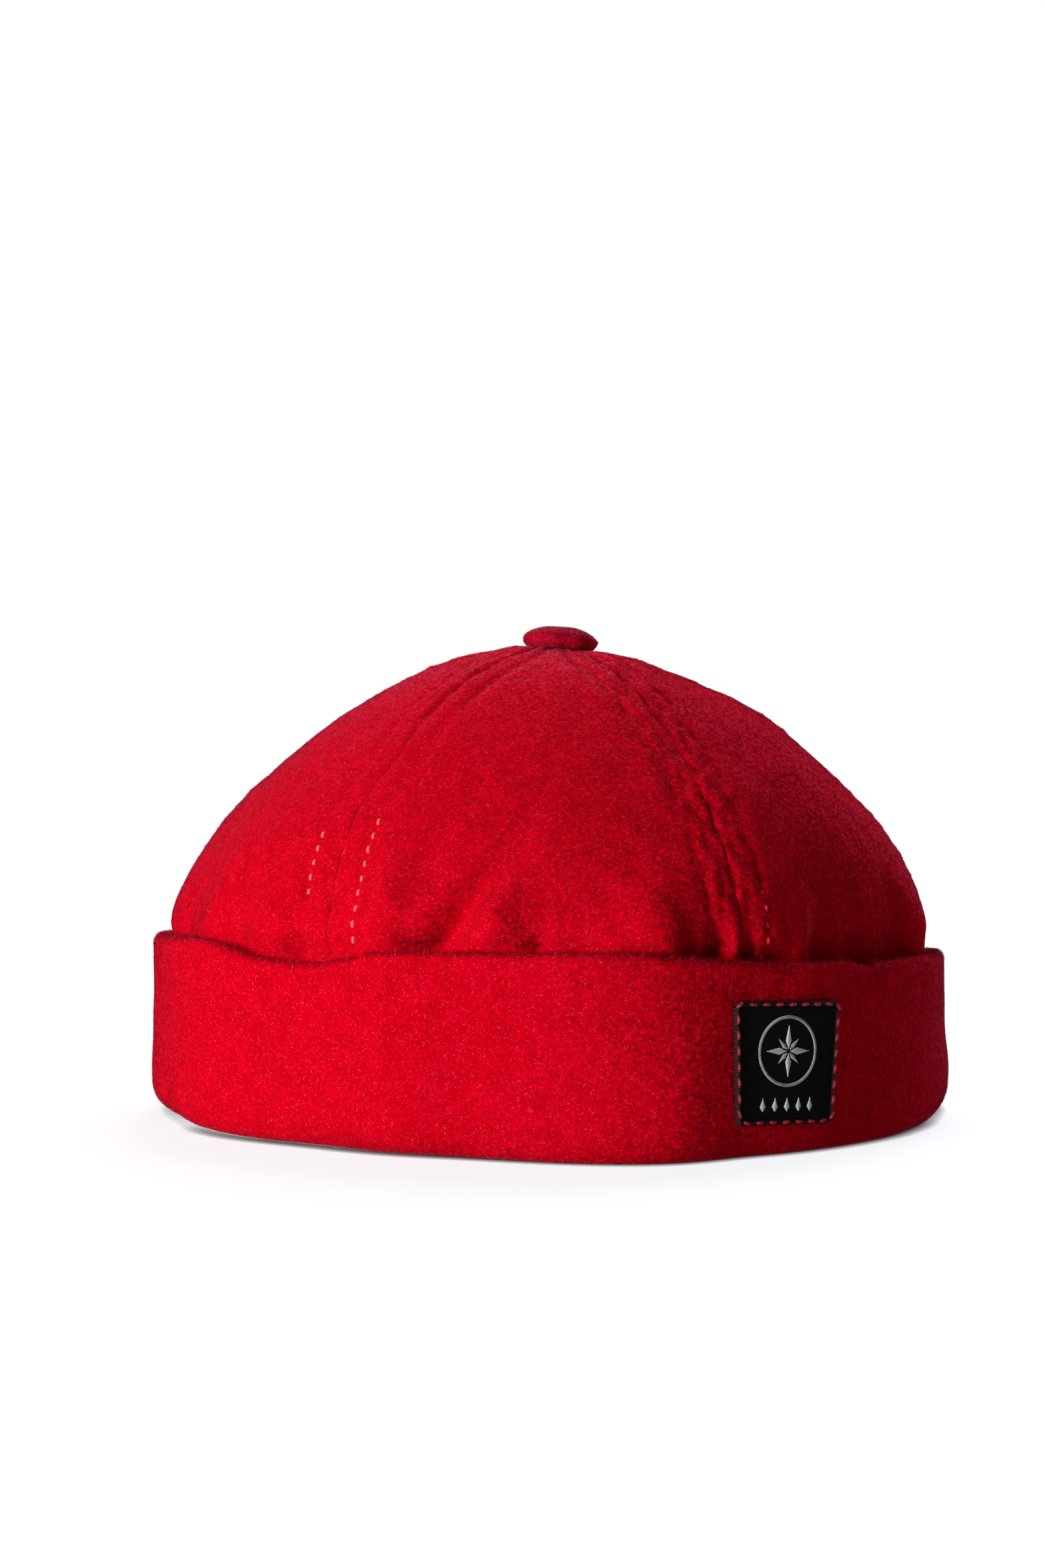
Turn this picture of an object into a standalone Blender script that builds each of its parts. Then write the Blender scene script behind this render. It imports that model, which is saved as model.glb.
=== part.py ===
"""Brimless docker cap of red wool felt: six crown panels, a turned-up cuff, a covered button, a label.

Metres, +Z up. The origin is on the floor under the middle of the cap, and the label is on the
-Y side. An azimuth is in degrees round +Z, from -Y (the front) towards +X.
"""

import math

import bmesh
import bpy

# Driving dimensions of the crown
CROWN_RADIUS = 0.0941
WIDEST_HEIGHT = 0.0466
CROWN_RISE = 0.0684
WALL_TAPER = 0.0008
SHOULDER_POWER = 1.81
SUMMIT_POWER = 1.435
FELT_THICKNESS = 0.0020
APEX_HOLE_RADIUS = 0.0020
APEX_SHIFT = 0.0024
APEX_LEAN = math.radians(2.0)
APEX_REACH = 0.0240
BUTTON_PULL = 0.0016
BUTTON_PULL_REACH = 0.0125

# Driving dimensions of the seams between the panels
SEAM_CLEARANCE = 0.0003
ROW_OFFSET = 0.0072
SEAM_DEPTH = 0.0008
ROW_DEPTH = 0.0006
BAND_RISE = 0.0007
PUCKER_DEPTH = 0.0034

# Driving dimensions of the cuff
CUFF_HEIGHT = 0.0430
CUFF_THICKNESS = 0.0042
CUFF_CLEARANCE = 0.0004
HEM_THICKNESS = 0.0020
HEM_ROLL_HEIGHT = 0.0072
HEM_ROLL_DEPTH = 0.0044
HEM_LIFT = 0.0023

# Driving dimensions of the footprint, which is pressed out of round
FOOTPRINT_PRESS = 0.0052
FOOTPRINT_REACH = 0.0850

# Driving dimensions of the button
BUTTON_RADIUS = 0.0093
BUTTON_HEIGHT = 0.0056
BUTTON_ROUNDING = 0.0016
BUTTON_SHOULDER_ANGLE = math.radians(55.0)
SHANK_LENGTH = 0.0050

# Driving dimensions of the label
LABEL_WIDTH = 0.0268
LABEL_LENGTH = 0.0270
LABEL_TAPER = 0.0012
LABEL_THICKNESS = 0.0009
LABEL_EDGE_DIAMETER = 0.0015
LABEL_CORNER_RADIUS = 0.0022
LABEL_AZIMUTH = 30.6
LABEL_HEIGHT_SHARE = 0.452
LABEL_TURN = math.radians(-2.3)

# Clearance between pieces that touch
SEAT_CLEARANCE = 0.0003

# Facets
PANEL_MIDDLE_COLUMNS = 12
WALL_ROWS = 3
DOME_ROWS = 13
ROW_CROWDING = 1.15
CUFF_SEGMENTS = 72
ROLL_STEPS = 3
FOLD_STEPS = 5
BUTTON_SIDES = 28
BUTTON_DOME_STEPS = 4
BUTTON_RIM_STEPS = 4
EDGE_BEVEL_RESOLUTION = 2
LABEL_CELLS = 8
CORNER_STEPS = 3
STRAIGHT_STEPS = 4

# Where the six seams run, in degrees
SEAM_AZIMUTHS = (-32.0, 26.5, 87.0, 147.0, 207.5, 268.0)

# Columns of a panel beside a seam, as shares of the distance from the seam to its stitched row
BAND_COLUMNS = (0.22, 0.55, 1.0, 1.45)
BAND_REACH = 1.65

# Widths of the groove at a seam and of the valley along a stitched row, as shares of the same distance
GROOVE_SHARE = 0.16
VALLEY_SHARE = 0.20

# The cuff's edges round the cap. top: share of CUFF_HEIGHT. lift: share of HEM_LIFT.
CUFF_LINE = (
    # azimuth, top, lift
    (-90.0, 0.995, 0.70),
    (-68.0, 1.029, 1.00),
    (-56.0, 1.041, 0.40),
    (-45.5, 0.968, 0.22),
    (-36.0, 0.933, 0.24),
    (-31.0, 0.945, 0.24),
    (-22.0, 1.026, 0.15),
    (-12.0, 1.026, 0.10),
    (1.4, 1.033, 0.00),
    (10.8, 1.027, 0.00),
    (18.8, 0.990, 0.00),
    (33.9, 0.952, 0.00),
    (42.8, 0.947, 0.00),
    (48.5, 0.916, 0.00),
    (56.0, 0.932, 0.00),
    (63.0, 0.935, 0.15),
    (76.0, 0.925, 0.55),
    (95.0, 0.965, 0.00),
    (130.0, 1.000, 0.00),
    (165.0, 1.015, 0.00),
    (200.0, 0.985, 0.00),
    (235.0, 1.005, 0.00),
)

# How far the cap's sides are pressed in (below 0) or pushed out at the floor: shares of FOOTPRINT_PRESS.
FOOTPRINT = (
    # azimuth, shift
    (-60.0, 0.00),
    (-35.0, -1.00),
    (-16.0, -0.85),
    (14.0, 0.80),
    (27.0, 0.10),
    (48.0, 0.00),
    (150.0, 0.00),
    (180.0, 0.43),
    (210.0, 0.00),
)

# Dents (below 0) and swellings (above 0) of the crown just above the cuff.
# height, tall: shares of CROWN_RISE above the cuff's edge. wide, slant: degrees.
# depth: share of PUCKER_DEPTH.
PUCKERS = (
    # azimuth, height, wide, tall, slant, depth
    (-75.0, 0.02, 5.0, 0.16, 0.0, -0.50),
    (-52.8, 0.06, 3.2, 0.17, 0.0, 0.35),
    (-38.6, 0.00, 3.4, 0.13, 0.0, -0.95),
    (-26.7, 0.15, 4.2, 0.11, 0.0, 0.55),
    (-17.6, 0.01, 3.6, 0.20, 10.0, -1.00),
    (-10.2, 0.14, 5.0, 0.17, 0.0, 0.40),
    (-3.8, 0.00, 3.4, 0.12, 0.0, -0.60),
    (8.5, 0.11, 6.0, 0.13, 0.0, 0.35),
    (15.4, 0.00, 3.0, 0.12, 0.0, -0.70),
    (22.0, 0.08, 3.0, 0.10, 0.0, 0.25),
    (29.0, 0.02, 4.0, 0.10, 0.0, -0.35),
    (50.0, 0.02, 10.0, 0.17, 0.0, -0.95),
    (70.0, 0.12, 6.0, 0.16, 0.0, 0.30),
    (90.0, 0.01, 5.0, 0.14, 0.0, -0.60),
    (110.0, 0.12, 6.0, 0.15, 0.0, 0.30),
    (126.0, 0.00, 5.0, 0.16, 6.0, -0.80),
    (152.0, 0.12, 5.0, 0.13, 0.0, 0.35),
    (168.0, 0.00, 5.0, 0.17, -6.0, -0.85),
    (190.0, 0.02, 6.0, 0.14, 0.0, -0.40),
    (210.0, 0.12, 5.0, 0.15, 0.0, 0.35),
    (224.0, 0.00, 5.0, 0.17, 5.0, -0.80),
    (246.0, 0.11, 6.0, 0.14, 0.0, 0.30),
    (262.0, 0.00, 5.0, 0.14, 0.0, -0.60),
)

# Colours are linear, and roughness and metallic are shares
FELT_RED = (0.62, 0.0, 0.022, 1.0)
PATCH_BLACK = (0.012, 0.010, 0.012, 1.0)
EDGE_BROWN = (0.030, 0.010, 0.010, 1.0)

# Radii that follow from the sizes above
WALL_RADIUS = CROWN_RADIUS - WALL_TAPER
CUFF_INNER_RADIUS = CROWN_RADIUS + CUFF_CLEARANCE
CUFF_OUTER_RADIUS = CUFF_INNER_RADIUS + CUFF_THICKNESS
HEM_INNER_RADIUS = WALL_RADIUS - FELT_THICKNESS - SEAT_CLEARANCE
RIM_HEIGHT = HEM_THICKNESS + SEAT_CLEARANCE


def smooth_step(value):
    """Ease from 0 to 1 as value goes from 0 to 1."""
    value = min(1.0, max(0.0, value))
    return value * value * (3.0 - 2.0 * value)


def turn_between(first, second):
    """Signed difference of two azimuths, from -180 to 180 degrees."""
    return (first - second + 180.0) % 360.0 - 180.0


def read_round(table, azimuth):
    """Values of a table round the cap at an azimuth, eased between its rows."""
    for row, (start, *values) in enumerate(table):
        end, *next_values = table[(row + 1) % len(table)]
        span = (end - start) % 360.0
        along = (azimuth - start) % 360.0
        if along <= span:
            ease = smooth_step(along / span)
            return [value + (following - value) * ease for value, following in zip(values, next_values)]
    return list(table[0][1:])


def cuff_line(azimuth):
    """Height of the cuff's upper edge and lift of its hem at an azimuth."""
    top, lift = read_round(CUFF_LINE, azimuth)
    return CUFF_HEIGHT * top, HEM_LIFT * lift


def at_azimuth(radius, azimuth, height):
    """Point at a radius, an azimuth and a height, moved out or in as the footprint is pressed."""
    angle = math.radians(azimuth)
    fade = 1.0 - smooth_step(height / FOOTPRINT_REACH)
    reach = radius + FOOTPRINT_PRESS * read_round(FOOTPRINT, azimuth)[0] * fade
    return reach * math.sin(angle), -reach * math.cos(angle), height


def crown_meridian():
    """Rows of the crown's outer face, from its rim to the apex hole.

    Each row is a radius, a height, an outward slope, and the share of the hem's lift that it follows.
    """
    rows = []
    for step in range(WALL_ROWS):
        share = step / WALL_ROWS
        height = RIM_HEIGHT + (WIDEST_HEIGHT - RIM_HEIGHT) * share
        rows.append((WALL_RADIUS + WALL_TAPER * share ** 2, height, 0.0, 1.0 - share))
    hole_share = (APEX_HOLE_RADIUS / CROWN_RADIUS) ** (SHOULDER_POWER / 2.0)
    last_angle = math.acos(hole_share)
    for step in range(DOME_ROWS + 1):
        angle = last_angle * (step / DOME_ROWS) ** ROW_CROWDING
        radius = CROWN_RADIUS * math.cos(angle) ** (2.0 / SHOULDER_POWER)
        height = WIDEST_HEIGHT + CROWN_RISE * math.sin(angle) ** (2.0 / SUMMIT_POWER)
        rows.append((radius, height, angle, 0.0))
    return rows


def pucker_relief(azimuth, height):
    """How far the crown stands out (or in, below 0) at a place, from the puckers above the cuff."""
    above = (height - cuff_line(azimuth)[0]) / CROWN_RISE
    relief = 0.0
    for place, middle, wide, tall, slant, depth in PUCKERS:
        across = turn_between(azimuth, place + slant * above) / wide
        along = (above - middle) / tall
        relief += depth * math.exp(-across * across - along * along)
    return PUCKER_DEPTH * relief


def seam_relief(distance, squeeze):
    """Groove at the seam, raised band beside it and shallow valley along the stitched row."""
    place = distance / (ROW_OFFSET * squeeze)
    groove = SEAM_DEPTH * math.exp(-(place / GROOVE_SHARE) ** 2)
    valley = ROW_DEPTH * math.exp(-((place - 1.0) / VALLEY_SHARE) ** 2)
    band = BAND_RISE * math.sin(math.pi * place) if place < 1.0 else 0.0
    return (band - groove - valley) * squeeze


def panel_columns(half_width):
    """Distances of the columns from a panel's first seam, and how far its seam bands are squeezed."""
    squeeze = min(1.0, half_width / (ROW_OFFSET * BAND_REACH))
    bands = [0.5 * SEAM_CLEARANCE] + [share * ROW_OFFSET * squeeze for share in BAND_COLUMNS]
    inner = [
        bands[-1] + 2.0 * (half_width - bands[-1]) * step / PANEL_MIDDLE_COLUMNS
        for step in range(1, PANEL_MIDDLE_COLUMNS)
    ]
    mirrored = [2.0 * half_width - distance for distance in reversed(bands)]
    return bands + inner + mirrored, squeeze


def freed_relief(relief, azimuth, height):
    """Relief of the crown, which stands out only where it is clear of the cuff."""
    if relief <= 0.0:
        return relief
    clear_from = max(WIDEST_HEIGHT, cuff_line(azimuth)[0])
    return relief * smooth_step((height - clear_from) / ROW_OFFSET)


def crown_point(azimuth, radius, height, slope, relief):
    """Point of the crown's outer face, with its summit moved and leaned to carry the button."""
    reach = radius + relief * math.cos(slope)
    x, y, z = at_azimuth(reach, azimuth, height + relief * math.sin(slope))
    z -= BUTTON_PULL * math.exp(-(radius / BUTTON_PULL_REACH) ** 2)
    share = math.exp(-(radius / APEX_REACH) ** 2)
    return x + APEX_SHIFT * share, y, z - x * math.tan(APEX_LEAN) * share


def make_material(name, colour, roughness):
    """Principled material of one colour."""
    material = bpy.data.materials.new(name)
    material.use_nodes = True
    shader = material.node_tree.nodes["Principled BSDF"]
    shader.inputs["Base Color"].default_value = colour
    shader.inputs["Roughness"].default_value = roughness
    shader.inputs["Metallic"].default_value = 0.0
    return material


def place_object(name, mesh, material, collection):
    """New object of a mesh, with its material, in a collection."""
    obj = bpy.data.objects.new(name, mesh)
    mesh.materials.clear()
    mesh.materials.append(material)
    collection.objects.link(obj)
    return obj


def add_wall(obj, thickness):
    """Give an open face its wall, on the side away from its normals."""
    wall = obj.modifiers.new("wall", "SOLIDIFY")
    wall.thickness = thickness
    wall.offset = -1.0


def make_panel(number, material, collection):
    """One gore of the crown, from its rim inside the cuff to the hole at the apex."""
    first = SEAM_AZIMUTHS[number]
    last = SEAM_AZIMUTHS[(number + 1) % len(SEAM_AZIMUTHS)]
    width = (last - first) % 360.0
    meridian = crown_meridian()
    grid = []
    for radius, level, slope, hem_share in meridian:
        half_width = radius * math.radians(width) / 2.0
        columns, squeeze = panel_columns(half_width)
        row = []
        for distance in columns:
            azimuth = first + math.degrees(distance / radius)
            from_seam = min(distance, 2.0 * half_width - distance)
            height = level + hem_share * cuff_line(azimuth)[1]
            relief = seam_relief(from_seam, squeeze) + pucker_relief(azimuth, height)
            relief = freed_relief(relief, azimuth, height)
            row.append(crown_point(azimuth, radius, height, slope, relief))
        grid.append(row)

    rows, columns = len(grid), len(grid[0])
    shape = bmesh.new()
    bmesh.ops.create_grid(shape, x_segments=columns - 1, y_segments=rows - 1, size=0.5)
    for vertex in shape.verts:
        column = round((vertex.co.x + 0.5) * (columns - 1))
        row = round((vertex.co.y + 0.5) * (rows - 1))
        vertex.co = grid[row][column]
    mesh = bpy.data.meshes.new(f"crown_panel_{number + 1}")
    shape.to_mesh(mesh)
    shape.free()
    mesh.shade_smooth()
    panel = place_object(mesh.name, mesh, material, collection)
    add_wall(panel, FELT_THICKNESS)
    return panel


def cuff_face_radius(azimuth, height):
    """Radius of the cuff's outer face at a height, rolled in towards the hem."""
    lift = cuff_line(azimuth)[1]
    below = (lift + HEM_ROLL_HEIGHT - height) / HEM_ROLL_HEIGHT
    below = min(1.0, max(0.0, below))
    return CUFF_OUTER_RADIUS - HEM_ROLL_DEPTH * (1.0 - math.sqrt(1.0 - below * below))


def cuff_section(azimuth):
    """Closed section of the cuff: up the outer face, over the fold, down inside and round the hem."""
    top, lift = cuff_line(azimuth)
    half = CUFF_THICKNESS / 2.0
    middle = (top + lift) / 2.0
    section = [(CUFF_OUTER_RADIUS, middle)]
    for step in range(FOLD_STEPS + 1):
        angle = math.pi * step / FOLD_STEPS
        radius = CUFF_INNER_RADIUS + half * (1.0 + math.cos(angle))
        section.append((radius, top - half * (1.0 - math.sin(angle))))
    section.append((CUFF_INNER_RADIUS, middle))
    section.append((CUFF_INNER_RADIUS, lift + HEM_THICKNESS))
    section.append((HEM_INNER_RADIUS, lift + HEM_THICKNESS))
    section.append((HEM_INNER_RADIUS - HEM_THICKNESS / 3.0, lift + HEM_THICKNESS / 2.0))
    section.append((HEM_INNER_RADIUS, lift))
    for step in range(ROLL_STEPS + 1):
        angle = math.pi / 2.0 * step / ROLL_STEPS
        out = CUFF_OUTER_RADIUS - HEM_ROLL_DEPTH * (1.0 - math.sin(angle))
        section.append((out, lift + HEM_ROLL_HEIGHT * (1.0 - math.cos(angle))))
    return section


def make_cuff(material, collection):
    """Doubled cloth band round the crown, with the hem turned under the crown's rim."""
    count = len(cuff_section(0.0))
    bpy.ops.mesh.primitive_torus_add(
        major_segments=CUFF_SEGMENTS,
        minor_segments=count,
        major_radius=CUFF_INNER_RADIUS,
        minor_radius=CUFF_THICKNESS,
    )
    cuff = bpy.context.object
    cuff.name = "cuff"
    for vertex in cuff.data.vertices:
        x, y, z = vertex.co
        azimuth = math.degrees(math.atan2(x, -y))
        around = math.atan2(z, math.hypot(x, y) - CUFF_INNER_RADIUS)
        index = round(around / (2.0 * math.pi) * count) % count
        radius, height = cuff_section(azimuth)[index]
        vertex.co = at_azimuth(radius, azimuth, height)
    cuff.data.materials.append(material)
    cuff.data.shade_smooth()
    for owner in list(cuff.users_collection):
        owner.objects.unlink(cuff)
    collection.objects.link(cuff)
    return cuff


def button_seat():
    """Height at the apex of the plane that the button's underside lies on."""
    heights = []
    for radius, height, slope, _ in crown_meridian():
        if radius <= BUTTON_RADIUS + ROW_OFFSET:
            squeeze = panel_columns(radius * math.pi / len(SEAM_AZIMUTHS))[1]
            rise = max(0.0, BAND_RISE * squeeze)
            heights.append(crown_point(0.0, radius, height, slope, rise)[2])
    return max(heights) + SEAT_CLEARANCE


def make_button(material, collection):
    """Cloth-covered button, turned, with a plain shank through the hole in the crown."""
    shank_radius = APEX_HOLE_RADIUS - SEAT_CLEARANCE
    rim_centre = BUTTON_RADIUS - BUTTON_ROUNDING
    rim = []
    for step in range(BUTTON_RIM_STEPS + 1):
        share = step / BUTTON_RIM_STEPS
        angle = BUTTON_SHOULDER_ANGLE - (BUTTON_SHOULDER_ANGLE + math.pi / 2.0) * share
        height = BUTTON_ROUNDING * (1.0 + math.sin(angle))
        rim.append((rim_centre + BUTTON_ROUNDING * math.cos(angle), height))
    shoulder_radius, shoulder_height = rim[0]
    profile = []
    for step in range(BUTTON_DOME_STEPS):
        share = step / BUTTON_DOME_STEPS
        height = BUTTON_HEIGHT - (BUTTON_HEIGHT - shoulder_height) * share ** 2
        profile.append((shoulder_radius * share, height))
    profile += rim
    profile += [(shank_radius, 0.0), (shank_radius, -SHANK_LENGTH), (0.0, -SHANK_LENGTH)]

    mesh = bpy.data.meshes.new("top_button")
    points = [(radius, 0.0, height) for radius, height in profile]
    edges = [(index, index + 1) for index in range(len(points) - 1)]
    mesh.from_pydata(points, edges, [])
    button = place_object("top_button", mesh, material, collection)
    turned = button.modifiers.new("turned", "SCREW")
    turned.steps = BUTTON_SIDES
    turned.render_steps = BUTTON_SIDES
    turned.use_merge_vertices = True
    turned.merge_threshold = 0.00001
    turned.use_smooth_shade = True
    button.location = (APEX_SHIFT, 0.0, button_seat())
    button.rotation_euler = (0.0, APEX_LEAN, 0.0)
    return button


def label_point(across, along, stand):
    """Point over the cuff, from the label's middle: to its right, up it, and out from the cuff's face."""
    middle = LABEL_HEIGHT_SHARE * CUFF_HEIGHT
    right = across * math.cos(LABEL_TURN) - along * math.sin(LABEL_TURN)
    up = across * math.sin(LABEL_TURN) + along * math.cos(LABEL_TURN)
    azimuth = LABEL_AZIMUTH + math.degrees(right / CUFF_OUTER_RADIUS)
    height = middle + up
    return at_azimuth(cuff_face_radius(azimuth, height) + stand, azimuth, height)


def label_half_width(along):
    """Half of the label's width at a distance above its middle; it narrows a little downwards."""
    return 0.5 * LABEL_WIDTH + LABEL_TAPER * along / LABEL_LENGTH


def in_rounded_corner(across, along, half_width, half_length, radius):
    """Move a point of a rectangle in where it lies past one of its rounded corners."""
    past_x = abs(across) - (half_width - radius)
    past_y = abs(along) - (half_length - radius)
    distance = math.hypot(past_x, past_y)
    if past_x <= 0.0 or past_y <= 0.0 or distance <= radius:
        return across, along
    x = half_width - radius + past_x * radius / distance
    y = half_length - radius + past_y * radius / distance
    return math.copysign(x, across), math.copysign(y, along)


def make_label_face(material, collection):
    """Woven patch, bent round the cuff, inside its thread edge."""
    margin = LABEL_EDGE_DIAMETER + SEAT_CLEARANCE
    corner = max(0.0, LABEL_CORNER_RADIUS - LABEL_EDGE_DIAMETER / 2.0 - SEAT_CLEARANCE)
    half_length = 0.5 * LABEL_LENGTH - margin
    shape = bmesh.new()
    bmesh.ops.create_grid(shape, x_segments=LABEL_CELLS, y_segments=LABEL_CELLS, size=1.0)
    for vertex in shape.verts:
        along = vertex.co.y * half_length
        half_width = label_half_width(along) - margin
        across, along = in_rounded_corner(vertex.co.x * half_width, along, half_width, half_length, corner)
        vertex.co = label_point(across, along, SEAT_CLEARANCE + LABEL_THICKNESS)
    mesh = bpy.data.meshes.new("label_face")
    shape.to_mesh(mesh)
    shape.free()
    mesh.shade_smooth()
    face = place_object("label_face", mesh, material, collection)
    add_wall(face, LABEL_THICKNESS)
    return face


def label_outline():
    """Middle line of the label's thread edge, right round it: distances across and up the label."""
    radius = LABEL_EDGE_DIAMETER / 2.0
    reach = 0.5 * LABEL_LENGTH - radius
    corner = LABEL_CORNER_RADIUS
    outline = []
    for side_x, side_y, start in ((1, 1, 0), (-1, 1, 90), (-1, -1, 180), (1, -1, 270)):
        centre_y = side_y * (reach - corner)
        centre_x = side_x * (label_half_width(centre_y) - radius - corner)
        for step in range(CORNER_STEPS + 1):
            angle = math.radians(start + 90.0 * step / CORNER_STEPS)
            outline.append((centre_x + corner * math.cos(angle), centre_y + corner * math.sin(angle)))
    filled = []
    for index, (across, along) in enumerate(outline):
        next_across, next_along = outline[(index + 1) % len(outline)]
        filled.append((across, along))
        if (index + 1) % (CORNER_STEPS + 1) == 0:
            for step in range(1, STRAIGHT_STEPS):
                share = step / STRAIGHT_STEPS
                right = across + (next_across - across) * share
                filled.append((right, along + (next_along - along) * share))
    return filled


def make_label_edge(material, collection):
    """Thick thread edge right round the patch, lying on the cuff."""
    radius = LABEL_EDGE_DIAMETER / 2.0
    curve = bpy.data.curves.new("label_edge", "CURVE")
    curve.dimensions = "3D"
    curve.bevel_depth = radius
    curve.bevel_resolution = EDGE_BEVEL_RESOLUTION
    outline = label_outline()
    spline = curve.splines.new("POLY")
    spline.points.add(len(outline) - 1)
    for point, (across, along) in zip(spline.points, outline):
        point.co = (*label_point(across, along, SEAT_CLEARANCE + radius), 1.0)
    spline.use_cyclic_u = True
    edge = bpy.data.objects.new("label_edge", curve)
    curve.materials.append(material)
    collection.objects.link(edge)
    return edge


def main():
    """Clear the scene and build the cap."""
    for obj in list(bpy.data.objects):
        bpy.data.objects.remove(obj, do_unlink=True)
    cap = bpy.data.collections.new("docker_cap")
    bpy.context.scene.collection.children.link(cap)
    felt = make_material("red_felt", FELT_RED, 0.95)
    patch = make_material("black_patch", PATCH_BLACK, 0.85)
    thread = make_material("edge_thread", EDGE_BROWN, 0.8)
    for number in range(len(SEAM_AZIMUTHS)):
        make_panel(number, felt, cap)
    make_cuff(felt, cap)
    make_button(felt, cap)
    make_label_face(patch, cap)
    make_label_edge(thread, cap)


main()
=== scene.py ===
"""The looks of a red wool docker cap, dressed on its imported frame.

Metres, +Z up. The cap's front is towards -Y. An azimuth is in radians round +Z, from -Y towards +X.
"""

import logging
import math
from dataclasses import dataclass, field
from enum import Enum

import bpy
import numpy as np
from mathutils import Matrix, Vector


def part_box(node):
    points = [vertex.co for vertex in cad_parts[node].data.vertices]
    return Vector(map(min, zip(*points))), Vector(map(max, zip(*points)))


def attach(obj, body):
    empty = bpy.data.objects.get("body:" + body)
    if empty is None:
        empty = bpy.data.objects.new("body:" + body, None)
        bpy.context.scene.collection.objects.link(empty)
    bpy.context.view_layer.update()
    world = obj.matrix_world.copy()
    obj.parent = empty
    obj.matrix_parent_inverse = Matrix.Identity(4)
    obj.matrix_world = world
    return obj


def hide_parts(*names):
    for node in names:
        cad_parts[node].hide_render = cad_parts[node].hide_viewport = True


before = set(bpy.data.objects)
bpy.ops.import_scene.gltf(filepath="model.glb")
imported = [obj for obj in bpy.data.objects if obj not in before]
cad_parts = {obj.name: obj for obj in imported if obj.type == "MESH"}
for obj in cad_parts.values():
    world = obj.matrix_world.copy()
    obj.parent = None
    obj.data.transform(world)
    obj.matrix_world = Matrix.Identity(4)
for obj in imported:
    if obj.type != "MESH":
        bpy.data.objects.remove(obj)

LOG = logging.getLogger("docker_cap")
BODY = "root"
Colour = tuple[float, float, float]
Array = np.ndarray
Numbers = Array | float
Mesh = bpy.types.Mesh
Piece = bpy.types.Object
Material = bpy.types.Material
Tree = bpy.types.NodeTree
Socket = bpy.types.NodeSocket


class Slot(Enum):
    """Material slots of the record."""

    FELT = "felt"
    LABEL_WEAVE = "label_weave"
    LABEL_THREAD = "label_thread"


class TreeKind(Enum):
    """Kinds of node tree that the script builds."""

    GEOMETRY = "GeometryNodeTree"
    SHADER = "ShaderNodeTree"


class Side(Enum):
    """The two stitched rows of a seam, by the way they lie from it."""

    BEFORE = -1.0
    AFTER = 1.0


class Field:
    """A number in a node tree; arithmetic on it adds Math nodes."""

    def __init__(self, nodes: "Nodes", socket: Socket) -> None:
        """Hold an output socket of a tree that is being built."""
        self.nodes = nodes
        self.socket = socket

    def math(self, operation: str, *others: "Field | float") -> "Field":
        """Put this number and others through a Math node.

        Args:
            operation: The Math node's operation.
            others: The node's other operands.

        Returns:
            The result as a number of the same tree.
        """
        inputs = dict(enumerate((self, *others)))
        return self.nodes.field("ShaderNodeMath", {"operation": operation}, inputs)

    def __add__(self, other: "Field | float") -> "Field":
        """Sum."""
        return self.math("ADD", other)

    def __sub__(self, other: "Field | float") -> "Field":
        """Difference."""
        return self.math("SUBTRACT", other)

    def __rsub__(self, other: float) -> "Field":
        """Plain number less this one."""
        return self.nodes.field("ShaderNodeMath", {"operation": "SUBTRACT"}, {0: other, 1: self})

    def __mul__(self, other: "Field | float") -> "Field":
        """Product."""
        return self.math("MULTIPLY", other)

    def __truediv__(self, other: "Field | float") -> "Field":
        """Quotient."""
        return self.math("DIVIDE", other)

    def __rtruediv__(self, other: float) -> "Field":
        """Plain number over this one."""
        return self.nodes.field("ShaderNodeMath", {"operation": "DIVIDE"}, {0: other, 1: self})

    def __pow__(self, other: "Field | float") -> "Field":
        """Power."""
        return self.math("POWER", other)


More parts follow.
